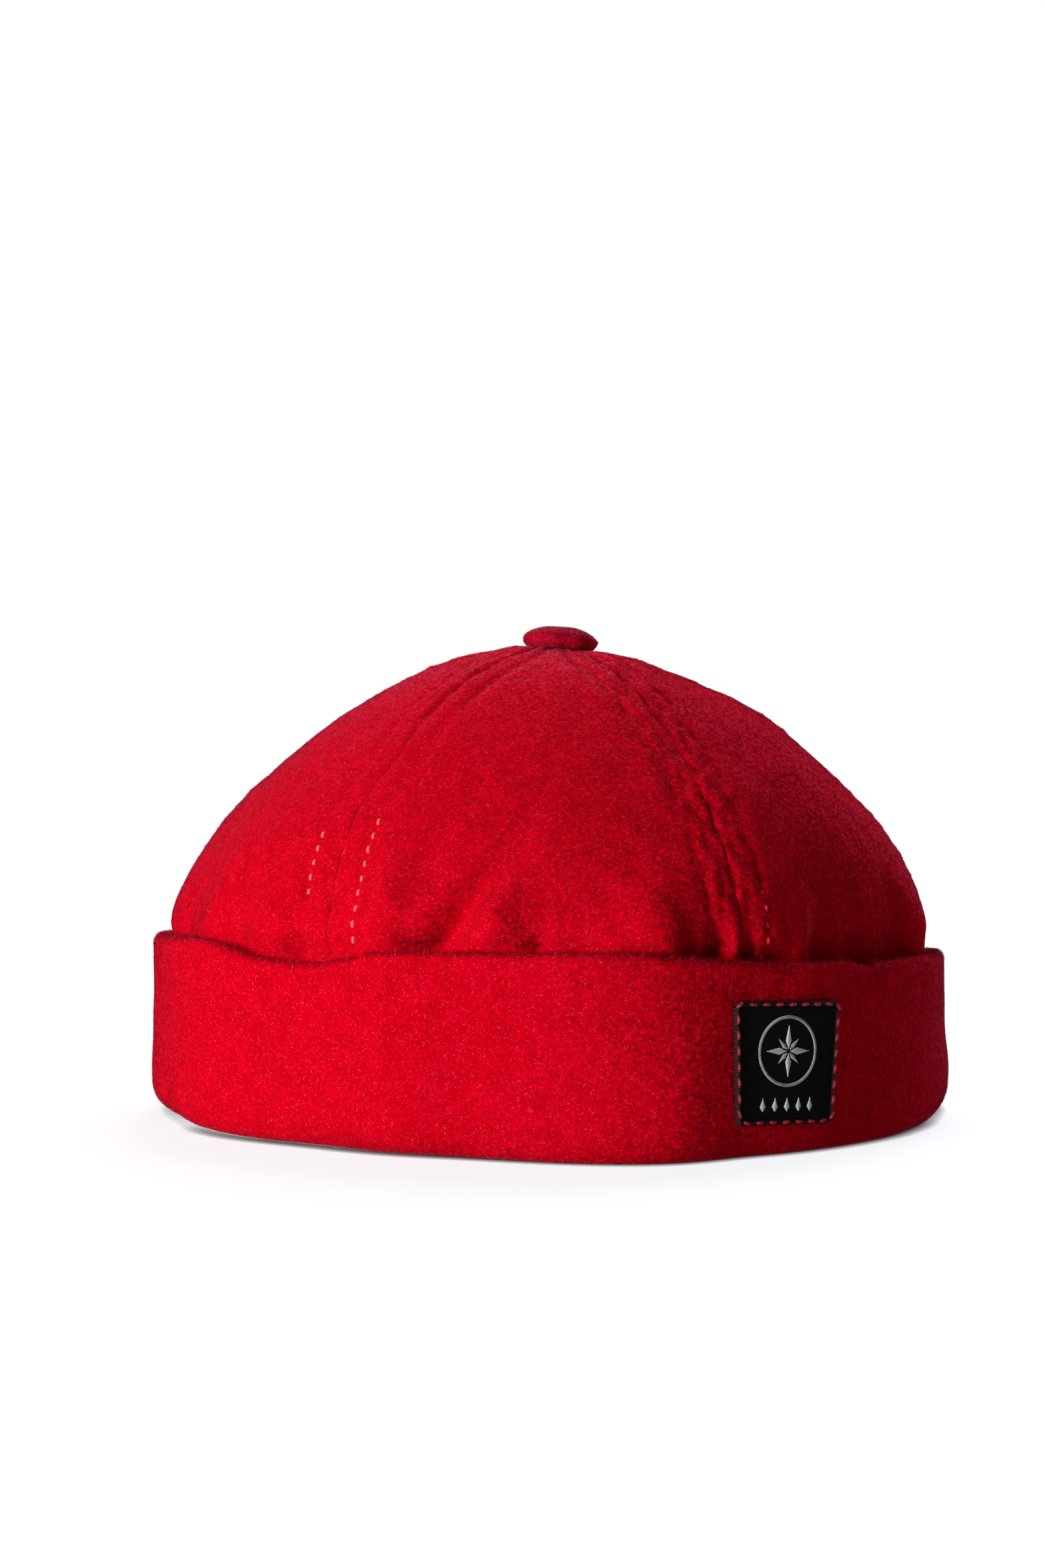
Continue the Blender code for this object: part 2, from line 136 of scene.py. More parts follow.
class Nodes:
    """A node tree being built: a geometry tree, a shader group or a material's tree."""

    def __init__(self, tree: Tree) -> None:
        """Take the tree to build in."""
        self.tree = tree
        self.entry: bpy.types.Node | None = None

    @classmethod
    def group(cls, name: str, kind: TreeKind) -> "Nodes":
        """Start a new node group.

        Args:
            name: The group's name.
            kind: Whether it is a geometry tree or a shader group.

        Returns:
            The builder of the new group.
        """
        nodes = cls(bpy.data.node_groups.new(name, kind.value))
        nodes.entry = nodes.tree.nodes.new("NodeGroupInput")
        return nodes

    def take(self, name: str, socket_type: str, value: object = None) -> Socket:
        """Add a named input to the group.

        Args:
            name: The input's name.
            socket_type: The short name of its type, such as Float.
            value: Its default.

        Returns:
            The socket that gives the input inside the group.
        """
        item = self.tree.interface.new_socket(name, in_out="INPUT", socket_type=f"NodeSocket{socket_type}")
        if value is not None:
            item.default_value = value
        return self.entry.outputs[name]

    def number(self, name: str, value: float = 0.0) -> Field:
        """Add a named number to the group's inputs."""
        return Field(self, self.take(name, "Float", value))

    def numbers(self, *names: str) -> list[Field]:
        """Add several named numbers to the group's inputs."""
        return [self.number(name) for name in names]

    def add(self, kind: str, settings: dict | None = None, inputs: dict | None = None) -> bpy.types.Node:
        """Add a node.

        Args:
            kind: The node's type.
            settings: Its properties.
            inputs: Links or values for its inputs, by name or number.

        Returns:
            The new node.
        """
        node = self.tree.nodes.new(kind)
        for name, value in (settings or {}).items():
            setattr(node, name, value)
        for name, value in (inputs or {}).items():
            self.feed(node.inputs[name], value)
        return node

    def feed(self, socket: Socket, value: object) -> None:
        """Link a socket to another, or give it a value."""
        source = value.socket if isinstance(value, Field) else value
        if isinstance(source, Socket):
            self.tree.links.new(source, socket)
        else:
            socket.default_value = source

    def field(self, kind: str, settings: dict | None = None, inputs: dict | None = None, output: int = 0) -> Field:
        """Add a node and hold one of its outputs as a number."""
        return Field(self, self.add(kind, settings, inputs).outputs[output])

    def parts(self, vector: Socket) -> tuple[Field, Field, Field]:
        """Split a vector into its three numbers."""
        node = self.add("ShaderNodeSeparateXYZ", inputs={0: vector})
        return tuple(Field(self, socket) for socket in node.outputs)

    def join(self, x: object, y: object, z: object) -> Socket:
        """Join three numbers into a vector."""
        return self.add("ShaderNodeCombineXYZ", inputs={0: x, 1: y, 2: z}).outputs[0]

    def vector(self, operation: str, *vectors: object) -> Socket:
        """Put vectors through a Vector Math node."""
        return self.add("ShaderNodeVectorMath", {"operation": operation}, dict(enumerate(vectors))).outputs[0]

    def scaled(self, vector: Socket, amount: object) -> Socket:
        """Scale a vector by a number."""
        return self.add("ShaderNodeVectorMath", {"operation": "SCALE"}, {0: vector, "Scale": amount}).outputs[0]

    def mix(self, share: object, first: object, second: object) -> Socket:
        """Mix two colours."""
        return self.add("ShaderNodeMix", {"data_type": "RGBA"}, {0: share, 6: first, 7: second}).outputs[2]

    def random(self, low: object, high: object, seed: Socket, **place: int) -> Field:
        """Random number from low to high, one to a point unless its ID is given."""
        inputs = {2: low, 3: high, "Seed": seed, **place}
        return self.field("FunctionNodeRandomValue", {"data_type": "FLOAT"}, inputs, output=1)

    def turned(self, rotation: Socket, lean: object, spin: object) -> Socket:
        """Turn a rotation further in its own space, by a lean and a spin."""
        more = self.add("FunctionNodeEulerToRotation", inputs={0: self.join(lean, 0.0, spin)}).outputs[0]
        settings = {"rotation_space": "LOCAL"}
        return self.add("FunctionNodeRotateRotation", settings, {0: rotation, 1: more}).outputs[0]

    def stored(self, name: str, kind: str = "FLOAT") -> Socket:
        """Value stored under a name on the points."""
        return self.add("GeometryNodeInputNamedAttribute", {"data_type": kind}, {"Name": name}).outputs[0]

    def store(
        self, geometry: Socket, name: str, value: object, domain: str, kind: str = "FLOAT"
    ) -> Socket:
        """Store a value under a name on a geometry's points or instances.

        Args:
            geometry: The geometry.
            name: The name.
            value: The value's socket.
            domain: POINT or INSTANCE.
            kind: The value's data type.

        Returns:
            The geometry with the value stored.
        """
        inputs = {"Geometry": geometry, "Name": name, "Value": value}
        return self.add("GeometryNodeStoreNamedAttribute", {"data_type": kind, "domain": domain}, inputs).outputs[0]

    def give(self, **sockets: tuple[str, object]) -> Tree:
        """End the group with its outputs.

        Args:
            sockets: For each output, the short name of its type and the socket that feeds it.

        Returns:
            The finished group.
        """
        names = {key: key.replace("_", " ").title() for key in sockets}
        for key, (socket_type, _) in sockets.items():
            self.tree.interface.new_socket(names[key], in_out="OUTPUT", socket_type=f"NodeSocket{socket_type}")
        end = self.tree.nodes.new("NodeGroupOutput")
        for key, (_, value) in sockets.items():
            self.feed(end.inputs[names[key]], value)
        return self.tree

    def end_geometry(self, geometry: Socket, material: Socket) -> Tree:
        """End a geometry tree: instances made real, and the material set."""
        real = self.add("GeometryNodeRealizeInstances", inputs={0: geometry})
        dressed = self.add("GeometryNodeSetMaterial", inputs={"Geometry": real.outputs[0], "Material": material})
        return self.give(geometry=("Geometry", dressed.outputs[0]))

    def end_copies(
        self, points: Socket, turn: Socket, size: Socket, tool: str
    ) -> Tree:
        """End a geometry tree with a tool's copies on points, each with a random shade.

        Args:
            points: The points.
            turn: How each copy is turned.
            size: How each is scaled.
            tool: The name of the group's input that holds the tool.

        Returns:
            The finished tree, which reads its inputs Seed and Material too.
        """
        given = self.entry.outputs
        shape = self.add("GeometryNodeObjectInfo", inputs={"Object": given[tool]}).outputs["Geometry"]
        inputs = {"Points": points, "Instance": shape, "Rotation": turn, "Scale": size}
        copies = self.add("GeometryNodeInstanceOnPoints", inputs=inputs).outputs[0]
        shaded = self.store(copies, "shade", self.random(0.0, 1.0, given["Seed"]), "INSTANCE")
        return self.end_geometry(shaded, given["Material"])


def smooth_step(value: Numbers) -> Array:
    """Ease from 0 to 1 as the value goes from 0 to 1."""
    held = np.clip(value, 0.0, 1.0)
    return held * held * (3.0 - 2.0 * held)


def bell(distance: Numbers, width: float) -> Array:
    """Bell curve that is 1 at 0 and 1/e at a width."""
    return np.exp(-((np.asarray(distance) / width) ** 2))


def turn_between(first: Numbers, second: Numbers) -> Array:
    """Signed difference of two azimuths, from minus to plus half a turn."""
    return (np.asarray(first) - second + math.pi) % (2.0 * math.pi) - math.pi


def at_azimuth(radius: Numbers, azimuth: Numbers, height: Numbers) -> Array:
    """Points at radii, azimuths and heights, one to a row."""
    x, y, z = np.broadcast_arrays(radius * np.sin(azimuth), -radius * np.cos(azimuth), height)
    return np.stack([x, y, z], axis=-1).astype(float)


def unit(vectors: Array) -> Array:
    """Vectors scaled to length 1."""
    return vectors / np.maximum(np.linalg.norm(vectors, axis=-1, keepdims=True), 1e-12)


def soft_lumps(points: Array, wavelength: float, seed: int, waves: int = 14) -> Array:
    """Smooth uneven relief over points, about 1 high at most, the same each run.

    Args:
        points: The places, one to a row.
        wavelength: The middle size of the lumps.
        seed: The seed of their directions.
        waves: How many waves are laid over each other.

    Returns:
        The relief at each place, without a unit.
    """
    draw = np.random.default_rng(seed)
    directions = unit(draw.normal(size=(waves, 3)))
    numbers = 2.0 * math.pi / (wavelength * draw.uniform(0.7, 1.5, waves))
    phases = draw.uniform(0.0, 2.0 * math.pi, waves)
    relief = np.zeros(len(points))
    for direction, number, phase in zip(directions, numbers, phases):
        relief += np.sin(points @ direction * number + phase)
    return relief / math.sqrt(2.0 * waves)


def lumpy(points: Array, layers: tuple[tuple[float, float, int], ...]) -> Array:
    """Relief of a few layers of soft lumps, each with its height, size and seed."""
    return sum(height * soft_lumps(points, size, seed) for height, size, seed in layers)


def corners_of(node: str) -> tuple[Array, Array]:
    """Lowest and highest corner of a CAD node at rest."""
    low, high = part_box(node)
    return np.array(low), np.array(high)


def mesh_points(mesh: Mesh) -> Array:
    """Places of a mesh's vertices, one to a row."""
    places = np.empty(len(mesh.vertices) * 3)
    mesh.vertices.foreach_get("co", places)
    return places.reshape(-1, 3)


def set_mesh_points(mesh: Mesh, points: Array) -> None:
    """Move a mesh's vertices."""
    mesh.vertices.foreach_set("co", points.ravel())
    mesh.update()


def set_numbers(mesh: Mesh, name: str, values: Array) -> None:
    """Store a number, or a vector, for each vertex of a mesh under a name."""
    kind, key = ("FLOAT_VECTOR", "vector") if values.ndim > 1 else ("FLOAT", "value")
    layer = mesh.attributes.get(name) or mesh.attributes.new(name, kind, "POINT")
    layer.data.foreach_set(key, np.ascontiguousarray(values, dtype=np.float32).ravel())


def grid_mesh(name: str, grid: Array, round_rows: bool, round_columns: bool) -> Mesh:
    """Mesh of a grid of points.

    Args:
        name: The mesh's name.
        grid: Points by row and column; the normals point to rows crossed with columns.
        round_rows: Whether the last row joins the first.
        round_columns: Whether the last column joins the first.

    Returns:
        The mesh, shaded smooth.
    """
    rows, columns = grid.shape[:2]
    index = np.arange(rows * columns).reshape(rows, columns)
    if round_rows:
        index = np.vstack([index, index[:1]])
    if round_columns:
        index = np.hstack([index, index[:, :1]])
    quads = np.stack([index[:-1, :-1], index[1:, :-1], index[1:, 1:], index[:-1, 1:]], axis=-1).reshape(-1, 4)
    mesh = bpy.data.meshes.new(name)
    mesh.from_pydata(grid.reshape(-1, 3).tolist(), [], quads.tolist())
    mesh.shade_smooth()
    return mesh


def show(name: str, mesh: Mesh, material: Material | None = None) -> Piece:
    """Put a mesh in the scene as a piece at the origin."""
    mesh.name = name
    piece = bpy.data.objects.new(name, mesh)
    bpy.context.scene.collection.objects.link(piece)
    if material is not None:
        mesh.materials.clear()
        mesh.materials.append(material)
    return piece


def keep(piece: Piece, slot: Slot, *nodes: str) -> Piece:
    """Let a piece ride on the cap, in place of CAD nodes.

    Args:
        piece: The finished piece.
        slot: Not used.
        nodes: The CAD nodes that it replaces.

    Returns:
        The piece.
    """
    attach(piece, BODY)
    if nodes:
        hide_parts(*nodes)
    LOG.info("%s: %d faces", piece.name, len(piece.data.polygons))
    return piece


def finished_mesh(obj: Piece) -> Mesh:
    """Plain mesh of an object with its modifiers, which are then removed with the object."""
    graph = bpy.context.evaluated_depsgraph_get()
    mesh = bpy.data.meshes.new_from_object(obj.evaluated_get(graph), preserve_all_data_layers=True, depsgraph=graph)
    bpy.data.objects.remove(obj)
    return mesh


def thickened(piece: Piece, wall: float) -> Mesh:
    """Plain mesh of a piece's face with a wall grown inwards from it."""
    modifier = piece.modifiers.new("wall", "SOLIDIFY")
    modifier.thickness = wall
    modifier.offset = -1.0
    return finished_mesh(piece)


def run_tree(tree: Tree, source: Mesh, values: dict[str, object]) -> Mesh:
    """Run a geometry tree on a mesh.

    Args:
        tree: The geometry tree.
        source: The mesh that goes in.
        values: Values of the tree's inputs, by name.

    Returns:
        The plain mesh that comes out.
    """
    holder = show("holder", source)
    modifier = holder.modifiers.new("made", "NODES")
    modifier.node_group = tree
    for item in tree.interface.items_tree:
        if item.item_type == "SOCKET" and item.in_out == "INPUT" and item.name in values:
            modifier[item.identifier] = values[item.name]
    return finished_mesh(holder)


def gore_tree() -> Tree:
    """Geometry tree of the plain face of one crown gore, from its rim to the hole at the apex."""
    nodes = Nodes.group("crown_gore", TreeKind.GEOMETRY)
    nodes.take("Geometry", "Geometry")
    first, width, gap, radius, taper = nodes.numbers(
        "First Seam", "Seam To Seam", "Seam Gap", "Crown Radius", "Wall Taper"
    )
    rim, widest, rise, hole = nodes.numbers("Rim Height", "Widest Height", "Crown Rise", "Hole Radius")
    shoulder, summit, wall_share, crowding = nodes.numbers(
        "Shoulder Power", "Summit Power", "Wall Share", "Seam Crowding"
    )
    columns, rows = nodes.take("Columns", "Int"), nodes.take("Rows", "Int")
    material = nodes.take("Material", "Material")

    size = {"Size X": 1.0, "Size Y": 1.0, "Vertices X": columns, "Vertices Y": rows}
    grid = nodes.add("GeometryNodeMeshGrid", inputs=size).outputs[0]
    x, y, _ = nodes.parts(nodes.add("GeometryNodeInputPosition").outputs[0])
    even = x + 0.5
    crowded = (even * math.pi).math("COSINE") * -0.5 + 0.5
    across = even + (crowded - even) * crowding
    up = y + 0.5
    wall = (up / wall_share).math("MINIMUM", 1.0)
    dome = ((up - wall_share) / (1.0 - wall_share)).math("MAXIMUM", 0.0)
    angle = dome * ((hole / radius) ** (shoulder * 0.5)).math("ARCCOSINE")
    reach = radius * angle.math("COSINE") ** (2.0 / shoulder) - taper * (1.0 - wall * wall)
    height = rim + (widest - rim) * wall + rise * angle.math("SINE") ** (2.0 / summit)
    half_gap = gap * 0.5 / reach
    azimuth = first + half_gap + (width - half_gap * 2.0) * across
    point = nodes.join(reach * azimuth.math("SINE"), reach * azimuth.math("COSINE") * -1.0, height)
    placed = nodes.add("GeometryNodeSetPosition", inputs={"Geometry": grid, "Position": point}).outputs[0]
    smooth = nodes.add("GeometryNodeSetShadeSmooth", inputs={"Geometry": placed}).outputs[0]
    return nodes.end_geometry(smooth, material)


def noise_tilt(nodes: Nodes, place: Socket, size: Field, amount: Field) -> Socket:
    """Add nodes that give an uneven sideways push for a normal, the same in every tree that asks.

    Args:
        nodes: The tree to add to.
        place: The places to read it at.
        size: The size of its lumps.
        amount: How strong it is.

    Returns:
        The push as a vector.
    """
    look = {"Vector": place, "Scale": 1.0 / size, "Detail": 2.0, "Roughness": 0.6}
    noise = nodes.add("ShaderNodeTexNoise", inputs=look).outputs["Color"]
    return nodes.scaled(nodes.vector("SUBTRACT", noise, (0.5, 0.5, 0.5)), amount)


def pushed_normal(nodes: Nodes, normal: Socket, push: Socket) -> Socket:
    """Add a push to a normal and make its length 1."""
    return nodes.vector("NORMALIZE", nodes.vector("ADD", normal, push))


def nap_tree() -> Tree:
    """Geometry tree that lays short fibres on a face, as thick as its stored number nap says."""
    nodes = Nodes.group("felt_nap", TreeKind.GEOMETRY)
    geometry = nodes.take("Geometry", "Geometry")
    density, length, width = nodes.numbers("Fibres Per Square Metre", "Fibre Length", "Fibre Width")
    least_lean, most_lean, tuft, unruly = nodes.numbers("Least Lean", "Most Lean", "Tuft Size", "Unruly Turn")
    grain, grain_tilt, face_out = nodes.numbers("Grain Size", "Grain Tilt", "Face Out")
    nodes.take("Fibre", "Object")
    seed = nodes.take("Seed", "Int")
    nodes.take("Material", "Material")

    spots = {"Mesh": geometry, "Density": density * Field(nodes, nodes.stored("nap")), "Seed": seed}
    spread = nodes.add("GeometryNodeDistributePointsOnFaces", inputs=spots)
    place = nodes.add("GeometryNodeInputPosition").outputs[0]
    east, south, _ = nodes.parts(place)
    outward = nodes.scaled(nodes.vector("NORMALIZE", nodes.join(east, south, 0.0)), face_out)
    push = nodes.vector("ADD", noise_tilt(nodes, place, grain, grain_tilt), outward)
    facing = pushed_normal(nodes, spread.outputs["Normal"], push)
    faced = nodes.store(spread.outputs["Points"], "facing", facing, "POINT", "FLOAT_VECTOR")
    tufts = nodes.field("ShaderNodeTexNoise", inputs={"Vector": place, "Scale": 1.0 / tuft, "Detail": 1.0})
    spin = tufts * (4.0 * math.tau) + nodes.random(unruly * -1.0, unruly, seed, ID=3)
    lean = nodes.random(least_lean, most_lean, seed, ID=7)
    turned = nodes.turned(spread.outputs["Rotation"], lean, spin)
    grown = length * nodes.random(0.55, 1.35, seed)
    return nodes.end_copies(faced, turned, nodes.join(width, grown, grown), "Fibre")


def laid_thread_tree() -> Tree:
    """Geometry tree that lays a thread on each point, along its stored vector, on its stored face."""
    nodes = Nodes.group("laid_threads", TreeKind.GEOMETRY)
    geometry = nodes.take("Geometry", "Geometry")
    thickness, wander = nodes.numbers("Thread Thickness", "Wander")
    nodes.take("Thread", "Object")
    seed = nodes.take("Seed", "Int")
    nodes.take("Material", "Material")

    out = {"Vector": nodes.stored("out", "FLOAT_VECTOR")}
    up = nodes.add("FunctionNodeAlignRotationToVector", {"axis": "Z"}, out).outputs[0]
    ahead = {"Rotation": up, "Vector": nodes.stored("along", "FLOAT_VECTOR")}
    along = nodes.add("FunctionNodeAlignRotationToVector", {"axis": "X", "pivot_axis": "Z"}, ahead).outputs[0]
    turned = nodes.turned(along, 0.0, nodes.random(wander * -1.0, wander, seed))
    points = nodes.add("GeometryNodeMeshToPoints", inputs={"Mesh": geometry}).outputs[0]
    return nodes.end_copies(points, turned, nodes.join(nodes.stored("reach"), thickness, thickness), "Thread")


def mottle_group() -> Tree:
    """Shader group of brushed felt: patches of colour, pale specks and an uneven, fleecy height. The specks are
    partly paler fibre tips and partly painted glints of light.
    """
    nodes = Nodes.group("felt_mottle", TreeKind.SHADER)
    deep, bright, speck = (nodes.take(name, "Color") for name in ("Deep", "Bright", "Speck"))
    names = ("Patch Size", "Curl Size", "Speck Share", "Grain Tilt")
    patch_size, curl_size, speck_share, grain_tilt = nodes.numbers(*names)
    place = nodes.add("ShaderNodeTexCoord").outputs["Object"]

    def noise(size: Field, detail: float, roughness: float, warp: float) -> Field:
        """Noise of one size over the cloth."""
        look = {"Vector": place, "Scale": 1.0 / size, "Detail": detail, "Roughness": roughness, "Distortion": warp}
        return nodes.field("ShaderNodeTexNoise", inputs=look)

    def stretch(value: Field, low: object, high: object) -> Field:
        """Stretch a range of the value to 0 to 1."""
        node = nodes.add("ShaderNodeMapRange", inputs={"Value": value, "From Min": low, "From Max": high})
        return Field(nodes, node.outputs[0])

    patches = stretch(noise(patch_size, 3.0, 0.6, 0.3), 0.35, 0.65)
    curls = noise(curl_size, 3.0, 0.65, 0.8)
    tone = (patches * 0.55 + stretch(curls, 0.3, 0.7) * 0.45).math("MINIMUM", 1.0)
    base = nodes.mix(tone, deep, bright)
    tips = noise(curl_size * 0.45, 2.0, 0.5, 0.0)
    # pale specks: partly paler fibre tips and partly painted glints of light on them
    specks = stretch(tips, speck_share * -0.35 + 0.72, speck_share * -0.35 + 0.80)
    height = curls * 0.7 + patches * 0.3 + tips * 0.35
    plain = nodes.add("ShaderNodeNewGeometry").outputs["Normal"]
    return nodes.give(
        colour=("Color", nodes.mix(specks, base, speck)),
        tone=("Float", tone),
        height=("Float", height),
        normal=("Vector", pushed_normal(nodes, plain, noise_tilt(nodes, place, curl_size, grain_tilt))),
    )


def twist_group() -> Tree:
    """Shader group of twisted thread, read from the thread's own map: colour bands and their height."""
    nodes = Nodes.group("thread_twist", TreeKind.SHADER)
    dark, light = nodes.take("Dark", "Color"), nodes.take("Light", "Color")
    plies = nodes.number("Plies")
    u, v, _ = nodes.parts(nodes.add("ShaderNodeTexCoord").outputs["UV"])
    wave = ((u * plies + v) * math.tau).math("SINE") * 0.5 + 0.5
    shade = nodes.field("ShaderNodeAttribute", {"attribute_name": "shade"}, output=2)
    tone = wave * 0.6 + shade * 0.4
    return nodes.give(colour=("Color", nodes.mix(tone, dark, light)), height=("Float", wave))


def weave_group() -> Tree:
    """Shader group of a fine satin weave, read from the piece's own map in metres."""
    nodes = Nodes.group("satin_weave", TreeKind.SHADER)
    dark, light = nodes.take("Dark", "Color"), nodes.take("Light", "Color")
    pitch = nodes.number("Thread Pitch")
    x, y, _ = nodes.parts(nodes.add("ShaderNodeTexCoord").outputs["UV"])
    across = ((x / pitch) * math.tau).math("SINE") * 0.5 + 0.5
    picks = ((y / pitch + x / pitch * 0.2) * math.tau * 0.5).math("SINE") * 0.5 + 0.5
    height = across * 0.5 + picks * 0.5
    return nodes.give(colour=("Color", nodes.mix(height, dark, light)), height=("Float", height))


class Dress(Enum):
    """Finishes of the cap, by the names of their materials."""

    FELT = "brushed_felt"
    NAP = "nap_fibre"
    # the button's finishes are darker copies of the felt's: painted shade
    BUTTON = "button_felt"
    BUTTON_NAP = "button_fibre"
    CORAL = "coral_thread"
    ROSE = "rose_thread"
    RED = "red_thread"
    EDGE = "edge_thread"
    GREY = "grey_thread"
    WHITE = "white_thread"
    PATCH = "black_patch"


@dataclass(frozen=True)
class Finish:
    """A material made from a shader group and a few numbers."""

    dress: Dress
    group: Tree
    group_values: dict[str, object]
    roughness: float = 0.95
    specular: float = 0.0
    bump_strength: float = 0.25
    bump_height: float = 0.0004
    sheen: float = 0.0
    sheen_roughness: float = 0.35
    sheen_tint: Colour = (1.0, 1.0, 1.0)

    def build(self) -> Material:
        """Make the material.

        Returns:
            The Principled material, fed by the group.
        """
        material = bpy.data.materials.new(self.dress.value)
        material.use_nodes = True
        nodes = Nodes(material.node_tree)
        look = nodes.add("ShaderNodeGroup", {"node_tree": self.group})
        for name, value in self.group_values.items():
            look.inputs[name].default_value = (*value, 1.0) if isinstance(value, tuple) else value
        shader = material.node_tree.nodes["Principled BSDF"]
        for name, value in {
            "Roughness": self.roughness,
            "Specular IOR Level": self.specular,
            "Sheen Weight": self.sheen,
            "Sheen Roughness": self.sheen_roughness,
            "Sheen Tint": (*self.sheen_tint, 1.0),
        }.items():
            shader.inputs[name].default_value = value
        colour, normal = self.surface(nodes, look)
        nodes.feed(shader.inputs["Base Color"], colour)
        nodes.feed(shader.inputs["Normal"], normal)
        return material

    def surface(self, nodes: Nodes, look: bpy.types.Node) -> tuple[Socket, Socket]:
        """Colour and normal of the surface.

        Args:
            nodes: The material's tree.
            look: The group's node.

        Returns:
            The group's colour, and a normal bumped by its height.
        """
        relief = {"Strength": self.bump_strength, "Distance": self.bump_height, "Height": look.outputs["Height"]}
        bump = nodes.add("ShaderNodeBump", inputs=relief)
        if "Normal" in look.outputs:
            nodes.feed(bump.inputs["Normal"], look.outputs["Normal"])
        return look.outputs["Colour"], bump.outputs[0]


@dataclass(frozen=True)
class NapFinish(Finish):
    """The loose fibres of the felt: the felt's own colours, a little different from fibre to fibre, with a few pale
    ones that are partly paler fibres and partly painted glints of light.
    """

    roughness: float = 0.9
    sheen: float = 0.34
    sheen_tint: Colour = (1.0, 0.24, 0.46)
    darkest: float = 0.66
    lightest: float = 1.34
    # pale: a few fibres that are partly paler and partly painted glints of light
    pale: Colour = (1.0, 0.07, 0.13)
    pale_from: float = 0.985
    pale_tone: float = 0.02

    def surface(self, nodes: Nodes, look: bpy.types.Node) -> tuple[Socket, Socket]:
        """Colour and normal of the fibres.

        Args:
            nodes: The material's tree.
            look: The group's node.

        Returns:
            A colour for each fibre, and the normal of the cloth under it.
        """
        shade = nodes.field("ShaderNodeAttribute", {"attribute_name": "shade"}, output=2)
        value = shade * (self.lightest - self.darkest) + self.darkest
        varied = nodes.add("ShaderNodeHueSaturation", inputs={"Value": value, "Color": look.outputs["Colour"]})
        tone = Field(nodes, look.outputs["Tone"])
        # painted glints: a few fibres turn pale, partly for paler fibres and partly for light glinting on them
        is_pale = (shade + tone * self.pale_tone).math("GREATER_THAN", self.pale_from)
        facing = nodes.add("ShaderNodeAttribute", {"attribute_name": "facing"}).outputs["Vector"]
        return nodes.mix(is_pale, varied.outputs[0], (*self.pale, 1.0)), facing


# dark, light, plies, roughness, specular, bump strength
THREAD_LOOKS: dict[Dress, tuple[Colour, Colour, float, float, float, float]] = {
    # coral and rose are one thread: coral has part of the key light's peach highlight painted in, rose is its
    # redder painted-shade look for the seam away from the light
    Dress.CORAL: ((0.88, 0.11, 0.085), (1.0, 0.20, 0.15), 3.0, 0.7, 0.1, 0.4),
    Dress.ROSE: ((0.80, 0.010, 0.035), (1.0, 0.025, 0.065), 3.0, 0.8, 0.05, 0.4),
    Dress.RED: ((0.22, 0.004, 0.010), (0.60, 0.02, 0.035), 3.0, 0.45, 0.4, 0.4),
    Dress.EDGE: ((0.010, 0.003, 0.003), (0.045, 0.009, 0.009), 2.0, 0.6, 0.3, 0.3),
    Dress.GREY: ((0.38, 0.40, 0.44), (0.70, 0.72, 0.76), 1.0, 0.4, 0.4, 0.2),
    Dress.WHITE: ((0.72, 0.73, 0.76), (0.95, 0.95, 0.97), 1.0, 0.4, 0.4, 0.2),
}
THREAD_RELIEF = 0.0001


def read_round(table: Array, azimuth: Numbers) -> Array:
    """Values of a table round the cap, eased between its rows.

    Args:
        table: Rows of an azimuth in degrees and values.
        azimuth: The azimuths to read it at, in radians.

    Returns:
        The values, one set to an azimuth, on the last axis.
    """
    start = table[0, 0]
    along = (np.degrees(np.asarray(azimuth, dtype=float)) - start) % 360.0
    stops = np.append((table[:, 0] - start) % 360.0, 360.0)
    row = np.clip(np.searchsorted(stops, along, side="right") - 1, 0, len(table) - 1)
    share = smooth_step((along - stops[row]) / (stops[row + 1] - stops[row]))[..., None]
    return table[row, 1:] * (1.0 - share) + table[(row + 1) % len(table), 1:] * share


@dataclass(frozen=True)
class Footprint:
    """How the soft cap stands pressed out of round, most at the floor."""

    press: float = 0.0052
    reach: float = 0.0850
    rows: tuple[tuple[float, float], ...] = (
        # azimuth in degrees, shift as a share of the press
        (-60.0, 0.00), (-35.0, -1.00), (-16.0, -0.85), (14.0, 0.80), (27.0, 0.10),
        (48.0, 0.00), (150.0, 0.00), (180.0, 0.43), (210.0, 0.00),
    )

    def place(self, radius: Numbers, azimuth: Numbers, height: Numbers) -> Array:
        """Points of the round shape, moved out or in as the cap is pressed.

        Args:
            radius: Their radii on the round shape.
            azimuth: Their azimuths.
            height: Their heights.

        Returns:
            The points, on the last axis.
        """
        shift = read_round(np.array(self.rows), azimuth)[..., 0] * self.press
        fade = 1.0 - smooth_step(np.asarray(height) / self.reach)
        return at_azimuth(radius + shift * fade, azimuth, height)


